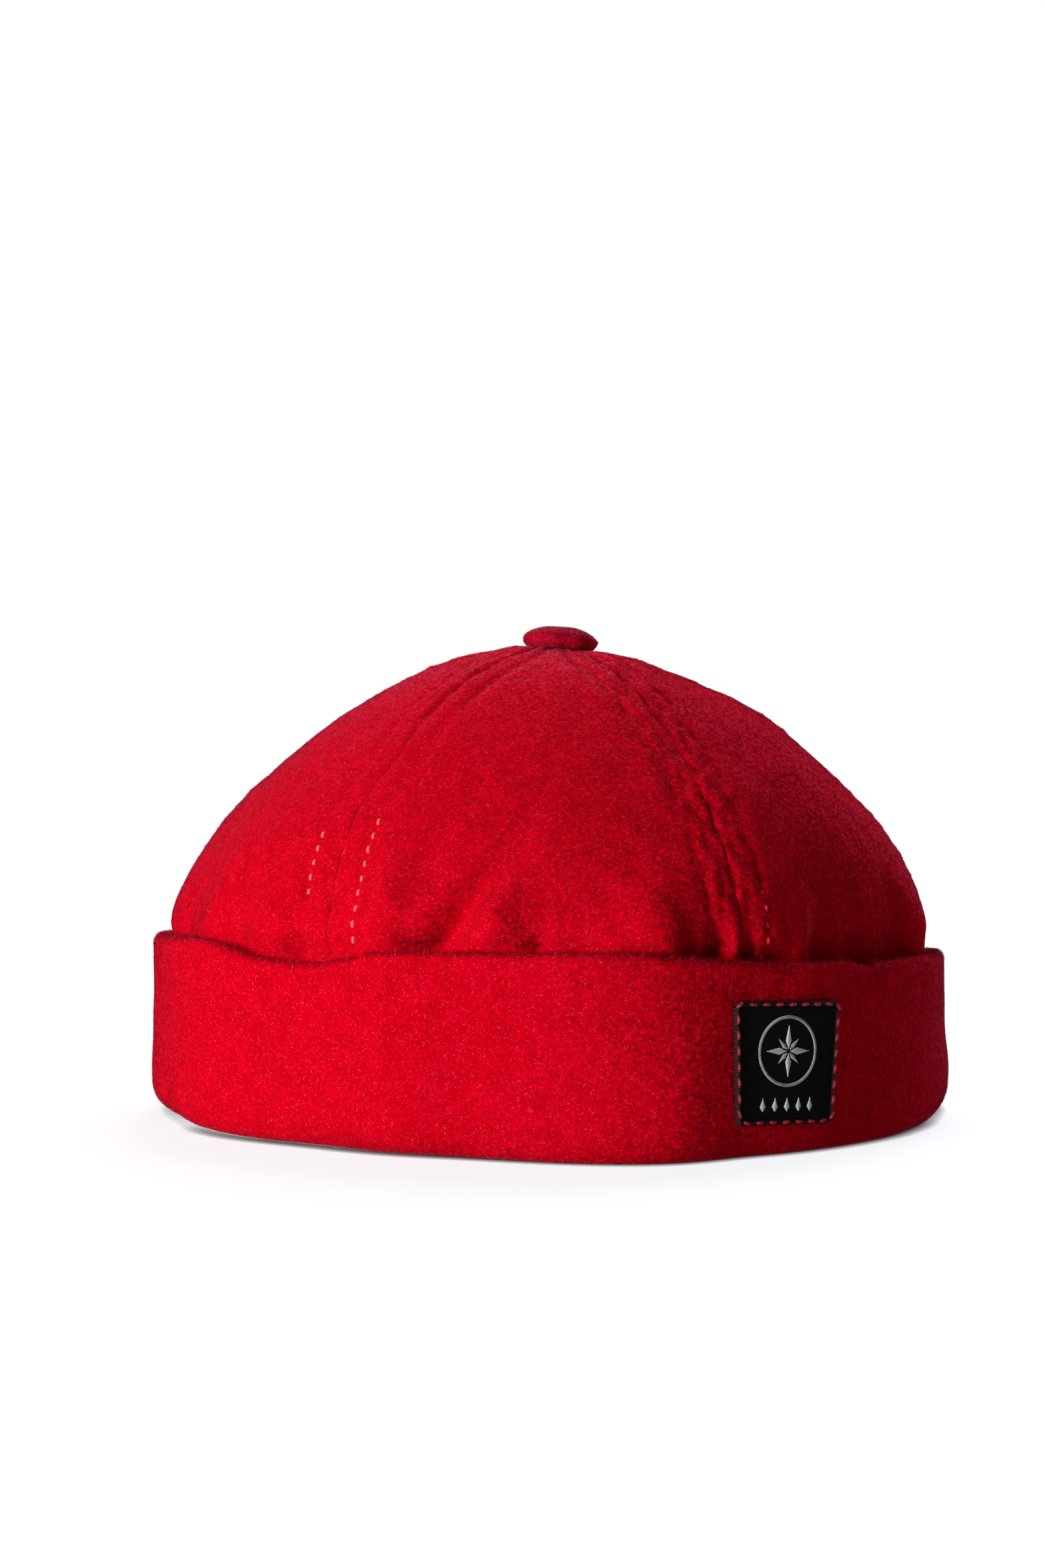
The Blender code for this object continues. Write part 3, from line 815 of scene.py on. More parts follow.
@dataclass(frozen=True)
class CuffForm:
    """Where the turned-up cuff runs, read from its node and a short table of its edges."""

    footprint: Footprint = Footprint()
    thickness: float = 0.0042
    hem_thickness: float = 0.0020
    hem_reach: float = 0.0077
    roll_height: float = 0.0072
    roll_depth: float = 0.0044
    hem_lift: float = 0.0023
    height: float = 0.0430
    edge_rows: tuple[tuple[float, float, float], ...] = (
        # azimuth in degrees, top as a share of the height, lift as a share of the hem's lift
        (-90.0, 1.008, 0.70), (-68.0, 1.038, 1.00), (-57.6, 1.050, 0.50), (-52.6, 1.038, 0.35),
        (-48.0, 1.000, 0.28), (-44.7, 0.978, 0.23), (-38.5, 0.957, 0.24), (-33.3, 0.961, 0.24),
        (-28.7, 0.990, 0.20), (-24.7, 1.024, 0.16), (-18.0, 1.034, 0.13), (-8.0, 1.035, 0.07),
        (1.4, 1.042, 0.00), (10.5, 1.040, 0.00), (15.0, 1.016, 0.00), (23.3, 0.992, 0.00),
        (31.0, 0.968, 0.00), (42.7, 0.958, 0.00), (47.8, 0.926, 0.00), (53.0, 0.937, 0.00),
        (63.0, 0.943, 0.15), (76.0, 0.934, 0.55), (90.0, 0.905, 0.00), (106.0, 0.885, 0.00),
        (130.0, 0.965, 0.00), (165.0, 1.015, 0.00), (200.0, 0.985, 0.00), (235.0, 1.005, 0.00),
        (255.0, 0.975, 0.35),
    )

    @property
    def outer_radius(self) -> float:
        """Radius of the cuff's outer face, from its node's box."""
        low, high = corners_of("cuff")
        return float(high[0] - low[0]) / 2.0

    @property
    def inner_radius(self) -> float:
        """Radius of the cuff's inner face."""
        return self.outer_radius - self.thickness

    def line(self, azimuth: Numbers) -> tuple[Array, Array]:
        """Height of the upper edge, and lift of the hem, at azimuths.

        Args:
            azimuth: The azimuths.

        Returns:
            The heights and the lifts.
        """
        edges = read_round(np.array(self.edge_rows), azimuth)
        return self.height * edges[..., 0], self.hem_lift * edges[..., 1]

    def face_radius(self, azimuth: Numbers, height: Numbers) -> Array:
        """Radius of the outer face at places, rolled in towards the hem."""
        below = (self.line(azimuth)[1] + self.roll_height - height) / self.roll_height
        below = np.clip(below, 0.0, 1.0)
        return self.outer_radius - self.roll_depth * (1.0 - np.sqrt(1.0 - below * below))


@dataclass(frozen=True)
class CrownForm:
    """The crown's true shape: a dome of revolution with seams, stitched rows, puckers and a pulled-in summit."""

    cuff: CuffForm
    wall_taper: float = 0.0008
    cuff_clearance: float = 0.0004
    rim_height: float = 0.0024
    widest_height: float = 0.0466
    crown_rise: float = 0.0684
    hole_radius: float = 0.0020
    shoulder_power: float = 1.81
    summit_power: float = 1.435
    apex_shift: float = 0.0024
    apex_lean: float = math.radians(4.0)
    apex_reach: float = 0.0240
    button_pull: float = 0.0016
    button_pull_reach: float = 0.0060
    button_swell: float = 0.0009
    button_swell_place: float = 0.0100
    button_swell_width: float = 0.0045
    button_swell_even: float = 0.55
    button_swell_left: float = 0.45
    summit_start: float = 0.0860
    summit_reach: float = 0.0200
    # how much stronger the relief of each seam is on the summit, and how uneven its sewing
    summit_gains: tuple[float, ...] = (1.7, 0.2, 0.8, 0.8, 0.8, 1.2)
    unrest: tuple[float, ...] = (0.40, 0.85, 0.6, 0.5, 0.6, 0.5)
    row_offset: float = 0.0072
    band_reach: float = 1.65
    stitch_pitch: float = 0.00366
    seam_depth: float = 0.00042
    groove_width: float = 0.0007
    groove_spread: float = 0.0018
    groove_lumps: float = 0.009
    row_depth: float = 0.00034
    row_width: float = 0.0009
    row_summit_width: float = 0.0020
    row_lumps: float = 0.007
    band_rise: float = 0.00016
    blob_height: float = 0.00050
    blob_size: float = 0.0036
    puff_height: float = 0.00024
    puff_width: float = 0.0026
    shoulder_height: float = 0.00018
    shoulder_place: float = 0.0034
    lumps: tuple[tuple[float, float, int], ...] = ((0.00045, 0.034, 3), (0.00016, 0.011, 5))
    free_start: float = 0.0005
    free_fade: float = 0.0040
    pucker_depth: float = 0.0046
    drift_reach: float = math.radians(24.0)
    drift_heights: tuple[float, ...] = (0.044, 0.056, 0.067, 0.075, 0.081, 0.088, 0.098, 0.110)
    drift_degrees: tuple[tuple[float, ...], ...] = (
        # how far each seam wanders from its plane at those heights
        (-1.3, -1.5, -2.2, -2.3, -1.7, -0.3, -0.5, 0.0),
        (-1.1, -0.6, -0.3, -0.1, 0.0, 0.5, 0.0, 0.0),
        (0.6, 0.2, -0.4, -0.8, -0.5, 0.2, 0.4, 0.0),
        (-0.5, -0.9, -0.6, 0.1, 0.5, 0.6, 0.1, 0.0),
        (0.9, 0.6, 0.1, -0.3, -0.7, -0.5, 0.0, 0.0),
        (-0.3, 0.3, 0.8, 0.7, 0.2, -0.4, -0.3, 0.0),
    )
    seam_degrees: tuple[float, ...] = (-32.0, 26.5, 87.0, 147.0, 207.5, 268.0)
    puckers: tuple[tuple[float, float, float, float, float, float], ...] = (
        # azimuth, height, wide, tall, slant, depth: degrees, and shares of the crown's rise and of the pucker depth
        (-69.0, 0.04, 7.0, 0.20, 0.0, -0.50), (-57.5, 0.08, 4.0, 0.18, 0.0, 0.35),
        (-51.5, 0.04, 2.6, 0.13, 0.0, -0.30), (-44.0, 0.09, 4.5, 0.14, 0.0, 0.40),
        (-42.0, 0.00, 11.0, 0.05, 0.0, -0.55), (-39.6, 0.02, 1.8, 0.07, 22.0, -0.55),
        (-23.8, 0.15, 3.2, 0.13, 0.0, 0.70), (-16.6, 0.00, 2.8, 0.26, 30.0, -1.25),
        (-20.6, 0.00, 2.6, 0.06, 0.0, -0.60), (-8.6, 0.08, 3.2, 0.13, 0.0, 0.60),
        (-2.2, 0.00, 1.5, 0.06, 0.0, -0.55), (2.0, 0.00, 4.2, 0.05, 0.0, -0.28),
        (13.2, 0.08, 4.6, 0.12, 0.0, 0.55), (18.4, 0.00, 2.1, 0.07, 0.0, -0.60),
        (22.3, 0.00, 1.6, 0.075, 0.0, -1.35), (24.5, 0.07, 1.7, 0.11, 0.0, 0.15),
        (27.2, 0.00, 1.1, 0.06, 0.0, -0.95), (32.0, 0.00, 3.6, 0.035, 0.0, -1.00),
        (34.0, 0.12, 2.6, 0.20, 0.0, -0.10), (41.5, 0.02, 3.4, 0.18, 0.0, -1.00),
        (50.0, 0.05, 8.0, 0.24, 0.0, -1.35), (62.0, 0.07, 7.0, 0.22, 0.0, -0.95),
        (70.0, 0.12, 6.0, 0.16, 0.0, 0.30), (84.0, 0.02, 17.0, 0.22, 0.0, -0.30),
        (92.0, 0.01, 5.0, 0.14, 0.0, -0.45), (110.0, 0.12, 6.0, 0.15, 0.0, 0.30),
        (126.0, 0.00, 5.0, 0.16, 6.0, -0.80), (152.0, 0.12, 5.0, 0.13, 0.0, 0.35),
        (168.0, 0.00, 5.0, 0.17, -6.0, -0.85), (190.0, 0.02, 6.0, 0.14, 0.0, -0.40),
        (210.0, 0.12, 5.0, 0.15, 0.0, 0.35), (224.0, 0.00, 5.0, 0.17, 5.0, -0.80),
        (246.0, 0.11, 6.0, 0.14, 0.0, 0.30), (262.0, 0.00, 5.0, 0.14, 0.0, -0.60),
    )

    @property
    def radius(self) -> float:
        """Largest radius of the crown's outer face."""
        return self.cuff.inner_radius - self.cuff_clearance

    @property
    def seams(self) -> Array:
        """Azimuths of the six seams."""
        return np.radians(self.seam_degrees)

    def last_angle(self) -> float:
        """Angle of the meridian at the apex hole."""
        return math.acos((self.hole_radius / self.radius) ** (self.shoulder_power / 2.0))

    def meridian(self, angle: Array) -> tuple[Array, Array]:
        """Radius and height of the dome at angles up its meridian."""
        reach = self.radius * np.cos(angle) ** (2.0 / self.shoulder_power)
        return reach, self.widest_height + self.crown_rise * np.sin(angle) ** (2.0 / self.summit_power)

    def arc_table(self) -> tuple[Array, Array]:
        """Angles up the meridian and the cloth's length to each, from the widest place."""
        angles = np.linspace(0.0, self.last_angle(), 600)
        reach, height = self.meridian(angles)
        steps = np.hypot(np.diff(reach), np.diff(height))
        return angles, np.append(0.0, np.cumsum(steps))

    def arc_of(self, reach: Array, height: Array) -> Array:
        """Length of cloth from the widest place to places, below 0 on the wall under it."""
        share = np.clip(reach / self.radius, 0.0, 1.0) ** (self.shoulder_power / 2.0)
        angles, lengths = self.arc_table()
        on_dome = np.interp(np.arccos(share), angles, lengths)
        return np.where(height < self.widest_height, height - self.widest_height, on_dome)

    def seam_distance(self, azimuth: Array, reach: Array) -> tuple[Array, Array, Array]:
        """How far places are from their nearest seam.

        Args:
            azimuth: Their azimuths.
            reach: Their distances from the axis.

        Returns:
            The distance as if the seam's bands had their full width, how far the bands are squeezed
            there, and the number of the seam.
        """
        turns = np.abs(turn_between(azimuth[:, None], self.seams[None, :]))
        squeeze = self.squeeze(reach)
        return turns.min(axis=1) * reach / squeeze, squeeze, turns.argmin(axis=1)

    def squeeze(self, reach: Array) -> Array:
        """How far a seam's bands are squeezed at distances from the axis, 1 where they are not."""
        half_gore = reach * math.pi / len(self.seams)
        return np.minimum(1.0, half_gore / (self.row_offset * self.band_reach))

    def drifted(self, azimuth: Array, height: Array) -> Array:
        """True azimuths of places that are given as if each seam ran straight up its plane."""
        moved = np.array(azimuth, dtype=float)
        for seam, degrees in zip(self.seams, self.drift_degrees):
            near = bell(turn_between(azimuth, seam), self.drift_reach)
            moved += np.radians(np.interp(height, self.drift_heights, degrees)) * near
        return moved

    def seam_relief(self, azimuth: Array, reach: Array, height: Array) -> Array:
        """Relief of the seams: an uneven groove, puffy bands and stitched valleys with a pull at each stitch."""
        place, squeeze, nearest = self.seam_distance(azimuth, reach)
        row = place - self.row_offset
        points = at_azimuth(reach, azimuth, height)
        unrest = np.array(self.unrest)[nearest]
        uneven = np.clip(0.6 + 0.8 * soft_lumps(points, self.groove_lumps, seed=21), 0.10, 1.3)
        patchy = np.clip(0.6 + 0.8 * soft_lumps(points, self.row_lumps, seed=23), 0.15, 1.3)
        beat = np.cos(math.tau * self.arc_of(reach, height) / self.stitch_pitch)
        rise = smooth_step((height - self.summit_start) / self.summit_reach)
        summit = 1.0 + np.array(self.summit_gains)[nearest] * rise
        profile = 0.25 * bell(place, self.groove_spread) + 0.75 * bell(place, self.groove_width)
        groove = self.seam_depth * (uneven * (0.45 + 0.55 * unrest) * profile) * summit
        band = smooth_step(place / 0.0020) * smooth_step(-row / 0.0030)
        near = smooth_step(place / 0.0008) * smooth_step((0.0016 - row) / 0.0020)
        blobs = self.blob_height * unrest * soft_lumps(points, self.blob_size, seed=22) * near
        fine = bell(row, self.row_width) * (1.0 + 0.6 * beat)
        fine = fine + (summit - 1.0) * 0.6 * bell(row, self.row_summit_width)
        valley = self.row_depth * (0.35 + 0.65 * unrest) * patchy * fine
        puffs = self.puff_height * unrest * bell(row, self.puff_width) * -beat
        shoulder = self.shoulder_height * bell(row - self.shoulder_place, self.puff_width)
        return (self.band_rise * band * summit + blobs - groove - valley + puffs + shoulder) * squeeze

    def pucker_relief(self, azimuth: Array, height: Array) -> Array:
        """Relief of the puckers just above the cuff."""
        above = (height - self.cuff.line(azimuth)[0]) / self.crown_rise
        relief = np.zeros(len(azimuth))
        for place, middle, wide, tall, slant, depth in self.puckers:
            turns = turn_between(azimuth, np.radians(place + slant * above)) / math.radians(wide)
            relief += depth * bell(turns, 1.0) * bell(above - middle, tall)
        return self.pucker_depth * relief

    def normals(self, azimuth: Array, reach: Array, height: Array) -> Array:
        """Outward normals of the plain dome."""
        out_share = np.clip(reach / self.radius, 1e-4, 1.0)
        up_share = np.clip((height - self.widest_height) / self.crown_rise, 0.0, 1.0)
        out = self.shoulder_power / self.radius * out_share ** (self.shoulder_power - 1.0)
        up = self.summit_power / self.crown_rise * up_share ** (self.summit_power - 1.0)
        return unit(at_azimuth(out, azimuth, up))

    def relief(self, azimuth: Array, reach: Array, height: Array) -> Array:
        """Whole relief of the crown, which stands out only where it is clear of the cuff."""
        true = self.drifted(azimuth, height)
        points = at_azimuth(reach, true, height)
        seams, puckers = self.seam_relief(azimuth, reach, height), self.pucker_relief(true, height)
        relief = seams + puckers + lumpy(points, self.lumps)
        free = smooth_step((height - self.cuff.line(true)[0] + self.free_start) / self.free_fade)
        return np.where(relief > 0.0, relief * free, relief)

    def settle(self, points: Array, reach: Array) -> Array:
        """Move the summit's points sideways, lean them and pull them in under the button."""
        moved = points.copy()
        share = bell(reach, self.apex_reach)
        moved[:, 2] -= self.button_pull * bell(reach, self.button_pull_reach)
        left = points[:, 0] / np.maximum(reach, self.hole_radius)
        side = self.button_swell_even - self.button_swell_left * left
        moved[:, 2] += self.button_swell * side * bell(reach - self.button_swell_place, self.button_swell_width)
        moved[:, 2] -= points[:, 0] * math.tan(self.apex_lean) * share
        moved[:, 0] += self.apex_shift * share
        return moved

    def face_point(self, azimuth: Array, reach: Array, height: Array, out: float) -> Array:
        """Points over the finished face of the crown, at a distance out from it."""
        relief = self.relief(azimuth, reach, height) + out
        true = self.drifted(azimuth, height)
        pressed = self.cuff.footprint.place(reach, true, height)
        return self.settle(pressed + self.normals(true, reach, height) * relief[:, None], reach)


class Tool(Enum):
    """Small shapes that the trees copy."""

    FIBRE = "fibre"
    DASH = "dash"
    FLOAT = "float"
    ARCH = "arch"


@dataclass
class Workshop:
    """Trees, finishes and small shapes that the pieces share."""

    gores: Tree = field(default_factory=gore_tree)
    nap: Tree = field(default_factory=nap_tree)
    threads: Tree = field(default_factory=laid_thread_tree)
    finishes: dict[Dress, Material] = field(default_factory=dict)
    tools: dict[Tool, Piece] = field(default_factory=dict)
    grain_size: float = 0.0009
    grain_tilt: float = 1.7
    fibre_width: float = 0.00009
    tuft_size: float = 0.0032
    unruly_turn: float = math.radians(90.0)
    thread_seed: int = 11

    def __post_init__(self) -> None:
        """Make the shared finishes and shapes."""
        for finish in (*self.wool_finishes(), *self.thread_finishes()):
            self.finishes[finish.dress] = finish.build()
        self.make_fibre()
        self.make_thread(Tool.DASH, rings=6, sides=6, rise=0.45)
        self.make_thread(Tool.FLOAT, rings=3, sides=4, rise=0.25)
        self.make_thread(Tool.ARCH, rings=7, sides=4, rise=1.9)

    def wool_finishes(self) -> list[Finish]:
        """Finishes of the cloth, of the button's covering and of the nap on each; the button's are darker copies of
        the felt's, with painted shade.
        """
        mottle = mottle_group()
        wool = {
            "Deep": (0.57, 0.0003, 0.007),
            "Bright": (0.77, 0.0008, 0.016),
            # Speck: pale fibre tips, partly paler fibres and partly painted glints of light
            "Speck": (1.0, 0.035, 0.085),
            "Patch Size": 0.0042,
            "Curl Size": self.grain_size,
            "Speck Share": 0.24,
            "Grain Tilt": self.grain_tilt,
        }
        # the button's covering: the felt's colours darkened, painted shade for the summit that the low light barely
        # reaches
        covering = wool | {
            "Deep": (0.36, 0.0015, 0.015),
            "Bright": (0.54, 0.004, 0.029),
            "Speck": (0.80, 0.04, 0.09),
        }
        return [
            Finish(Dress.FELT, mottle, wool, sheen=0.2, sheen_tint=(1.0, 0.16, 0.34)),
            NapFinish(Dress.NAP, mottle, wool),
            Finish(Dress.BUTTON, mottle, covering, sheen=0.3, sheen_tint=(1.0, 0.22, 0.33)),
            NapFinish(Dress.BUTTON_NAP, mottle, covering),
        ]

    def thread_finishes(self) -> list[Finish]:
        """Finishes of the threads and of the woven patch."""
        made = []
        twist = twist_group()
        for dress, (dark, light, plies, roughness, specular, bump) in THREAD_LOOKS.items():
            values = {"Dark": dark, "Light": light, "Plies": plies}
            made.append(Finish(dress, twist, values, roughness, specular, bump, THREAD_RELIEF))
        weave = {"Dark": (0.0015, 0.0015, 0.002), "Light": (0.009, 0.009, 0.011), "Thread Pitch": 0.0004}
        return [*made, Finish(Dress.PATCH, weave_group(), weave, 0.8, 0.1, 0.5, THREAD_RELIEF)]

    def make_fibre(self) -> None:
        """Make a small flat fibre of one unit's length that ends in a point."""
        mesh = bpy.data.meshes.new(Tool.FIBRE.value)
        mesh.from_pydata([(-0.5, 0.0, 0.0), (0.5, 0.0, 0.0), (0.0, 0.0, 1.0)], [], [(0, 1, 2)])
        self.tools[Tool.FIBRE] = show(Tool.FIBRE.value, mesh)

    def make_thread(self, tool: Tool, rings: int, sides: int, rise: float) -> None:
        """Make a short thread of one unit's length and thickness that arches up from its ends.

        Args:
            tool: Which tool it is.
            rings: Rings of points along it.
            sides: Points in a ring.
            rise: Height of its middle over its ends, in thicknesses.
        """
        along = -0.5 * np.cos(np.linspace(0.0, math.pi, rings + 2))
        swell = 0.5 * np.sqrt(np.clip(1.0 - (2.0 * along) ** 4, 0.0, 1.0))
        arch = rise * (1.0 - (2.0 * along) ** 2)
        end_drop = 0.2
        points = [(float(along[0]), 0.0, float(arch[0]) - end_drop)]
        for x, offset, z in zip(along[1:-1].tolist(), swell[1:-1].tolist(), arch[1:-1].tolist()):
            for angle in math.tau * np.arange(sides) / sides:
                points.append((x, offset * math.cos(angle), z + offset * math.sin(angle)))
        points.append((float(along[-1]), 0.0, float(arch[-1]) - end_drop))
        last = len(points) - 1
        faces = []
        for side in range(sides):
            after = (side + 1) % sides
            faces.append((0, 1 + after, 1 + side))
            for ring in range(rings - 1):
                base = 1 + ring * sides
                faces.append((base + side, base + after, base + sides + after, base + sides + side))
            end = 1 + (rings - 1) * sides
            faces.append((end + side, end + after, last))
        mesh = bpy.data.meshes.new(tool.value)
        mesh.from_pydata(points, [], faces)
        mesh.shade_smooth()
        layer = mesh.uv_layers.new(name="UVMap")
        for loop in mesh.loops:
            x, y, z = mesh.vertices[loop.vertex_index].co
            layer.data[loop.index].uv = (x + 0.5, math.atan2(z, y) / math.tau)
        self.tools[tool] = show(tool.value, mesh)

    def grow_nap(
        self,
        name: str,
        face: Mesh,
        density: float,
        length: float,
        seed: int,
        dress: Dress = Dress.NAP,
        lean: tuple[float, float] = (math.radians(25.0), math.radians(80.0)),
        face_out: float = 0.0,
    ) -> Piece:
        """Grow fibres on a face that has its nap stored.

        Args:
            name: The new piece's name.
            face: The face that they stand on.
            density: Fibres to a square metre.
            length: Their middle length.
            seed: The seed of their places.
            dress: Their finish.
            lean: The least and the most that one leans over.
            face_out: How far they are lit as if they faced out from the cap's axis.

        Returns:
            The piece of fibres.
        """
        values = {
            "Fibres Per Square Metre": density,
            "Fibre Length": length,
            "Fibre Width": self.fibre_width,
            "Least Lean": lean[0],
            "Most Lean": lean[1],
            "Tuft Size": self.tuft_size,
            "Unruly Turn": self.unruly_turn,
            "Grain Size": self.grain_size,
            "Grain Tilt": self.grain_tilt,
            "Face Out": face_out,
            "Fibre": self.tools[Tool.FIBRE],
            "Seed": seed,
            "Material": self.finishes[dress],
        }
        return keep(show(name, run_tree(self.nap, face, values)), Slot.FELT)

    def lay_threads(
        self,
        name: str,
        points: Array,
        along: Array,
        out: Array,
        reach: Array,
        thickness: float,
        tool: Tool,
        dress: Dress,
        slot: Slot,
        wander: float = 0.0,
    ) -> Piece:
        """Lay a thread on each of a set of points.

        Args:
            name: The new piece's name.
            points: Middles of the threads.
            along: The way that each runs.
            out: The way that each one's back faces.
            reach: The length of each.
            thickness: Their thickness.
            tool: The shape that each copies.
            dress: Their finish.
            slot: The record's slot.
            wander: The most that one is turned askew.

        Returns:
            The piece of threads.
        """
        source = bpy.data.meshes.new(name)
        source.from_pydata(points.tolist(), [], [])
        for key, column in (("along", along), ("out", out), ("reach", reach)):
            set_numbers(source, key, column)
        values = {
            "Thread Thickness": thickness,
            "Wander": wander,
            "Thread": self.tools[tool],
            "Seed": self.thread_seed,
            "Material": self.finishes[dress],
        }
        return keep(show(name, run_tree(self.threads, source, values)), slot)

    def put_away(self) -> None:
        """Remove the tool objects from the scene."""
        for tool in self.tools.values():
            bpy.data.objects.remove(tool)


@dataclass
class Crown:
    """Six sewn gores with their nap and their topstitching."""

    form: CrownForm
    shop: Workshop
    columns: int = 76
    rows: int = 84
    seam_gap: float = 0.00002
    wall: float = 0.0020
    wall_share: float = 0.17
    seam_crowding: float = 0.55
    nap_density: float = 9.0e6
    nap_length: float = 0.00055
    stitch_length: float = 0.0020
    stitch_thickness: float = 0.00092
    stitch_sink: float = 0.00020
    # the seam away from the light, sewn with the rose thread: painted shade
    seam_in_shade: int = 1
    clear_share: float = 0.75
    clear_width: float = 0.0006
    clear_top: float = 0.078
    clear_fade: float = 0.010
    nap_depth: float = 0.004
    nap_fade: float = 0.003
    bare_summit: float = 0.006
    blank_summit: float = 0.008
    shown_heights: tuple[tuple[float, float], ...] = (
        # lowest and highest stitch that stands clear of the nap, row by row
        (0.0540, 0.0715), (0.0465, 0.0745), (0.0460, 0.0510), (0.0425, 0.0580),
        (0.0460, 0.0600), (0.0480, 0.0700), (0.0470, 0.0680), (0.0500, 0.0730),
        (0.0460, 0.0620), (0.0480, 0.0710), (0.0470, 0.0660), (0.0520, 0.0720),
    )

    def gore_face(self, number: int) -> Mesh:
        """Finished outer face of one gore, with its nap stored.

        Args:
            number: Which gore, from 0.

        Returns:
            The open mesh of the face.
        """
        form = self.form
        first = form.seams[number]
        width = (form.seams[(number + 1) % len(form.seams)] - first) % math.tau
        values = {
            "First Seam": float(first),
            "Seam To Seam": float(width),
            "Seam Gap": self.seam_gap,
            "Crown Radius": form.radius,
            "Wall Taper": form.wall_taper,
            "Rim Height": form.rim_height,
            "Widest Height": form.widest_height,
            "Crown Rise": form.crown_rise,
            "Hole Radius": form.hole_radius,
            "Shoulder Power": form.shoulder_power,
            "Summit Power": form.summit_power,
            "Wall Share": self.wall_share,
            "Seam Crowding": self.seam_crowding,
            "Columns": self.columns,
            "Rows": self.rows,
            "Material": self.shop.finishes[Dress.FELT],
        }
        mesh = run_tree(self.shop.gores, bpy.data.meshes.new("seed"), values)
        plain = mesh_points(mesh)
        azimuth = np.arctan2(plain[:, 0], -plain[:, 1])
        reach = np.hypot(plain[:, 0], plain[:, 1])
        edge, lift = form.cuff.line(form.drifted(azimuth, plain[:, 2]))
        height = plain[:, 2] + lift * (1.0 - smooth_step(plain[:, 2] / form.widest_height))
        set_mesh_points(mesh, form.face_point(azimuth, reach, height, 0.0))

        place, _, _ = form.seam_distance(azimuth, reach)
        fade = smooth_step((self.clear_top - height) / self.clear_fade)
        clear_row = bell(place - form.row_offset, self.clear_width) * fade
        above_cuff = smooth_step((height - edge + self.nap_depth) / self.nap_fade)
        shown = above_cuff * smooth_step((reach - self.bare_summit) / self.nap_fade)
        set_numbers(mesh, "nap", shown * (1.0 - self.clear_share * clear_row))
        return mesh

    def make_gore(self, number: int) -> None:
        """Build one gore, its wall and its nap."""
        felt = self.shop.finishes[Dress.FELT]
        face = self.gore_face(number)
        nap_ground = face.copy()
        mesh = thickened(show(f"felt_panel_{number + 1}", face, felt), self.wall)
        mesh.attributes.remove(mesh.attributes["nap"])
        keep(show(f"felt_panel_{number + 1}", mesh, felt), Slot.FELT, f"crown_panel_{number + 1}")
        self.shop.grow_nap(f"nap_panel_{number + 1}", nap_ground, self.nap_density, self.nap_length, 20 + number)

    def row_points(self, number: int, side: Side) -> tuple[Array, Array, Array]:
        """Places of the stitches of one row.

        Args:
            number: Which seam.
            side: Which of its two rows.

        Returns:
            The azimuth, radius and height of each stitch.
        """
        form = self.form
        angles, lengths = form.arc_table()
        last = int((lengths[-1] - self.blank_summit) / form.stitch_pitch)
        arcs = np.arange(-2, last) * form.stitch_pitch
        reach, height = form.meridian(np.interp(arcs, lengths, angles))
        height = np.where(arcs < 0.0, form.widest_height + arcs, height)
        azimuth = form.seams[number] + side.value * form.row_offset * form.squeeze(reach) / reach
        low_end, high_end = self.shown_heights[2 * number + (side is Side.AFTER)]
        kept = (height > low_end) & (height < high_end)
        return azimuth[kept], reach[kept], height[kept]

    def stitch_rows(self) -> None:
        """Sew the twin rows beside every seam."""
        form = self.form
        for number in range(len(form.seams)):
            places = [self.row_points(number, side) for side in Side]
            azimuth, reach, height = (np.concatenate(column) for column in zip(*places))
            out = form.normals(azimuth, reach, height)
            # the seam in shade gets the rose copy of the thread, the others the coral one with its painted
            # highlight
            self.shop.lay_threads(
                f"topstitch_{number + 1}",
                form.face_point(azimuth, reach, height, -self.stitch_sink),
                unit(np.cross(at_azimuth(1.0, azimuth + math.pi / 2.0, 0.0), out)),
                out,
                np.full(len(out), self.stitch_length),
                self.stitch_thickness,
                Tool.DASH,
                Dress.ROSE if number == self.seam_in_shade else Dress.CORAL,
                Slot.FELT,
                wander=math.radians(7.0),
            )

    def build(self) -> None:
        """Build the whole crown."""
        for number in range(len(self.form.seams)):
            self.make_gore(number)
        self.stitch_rows()


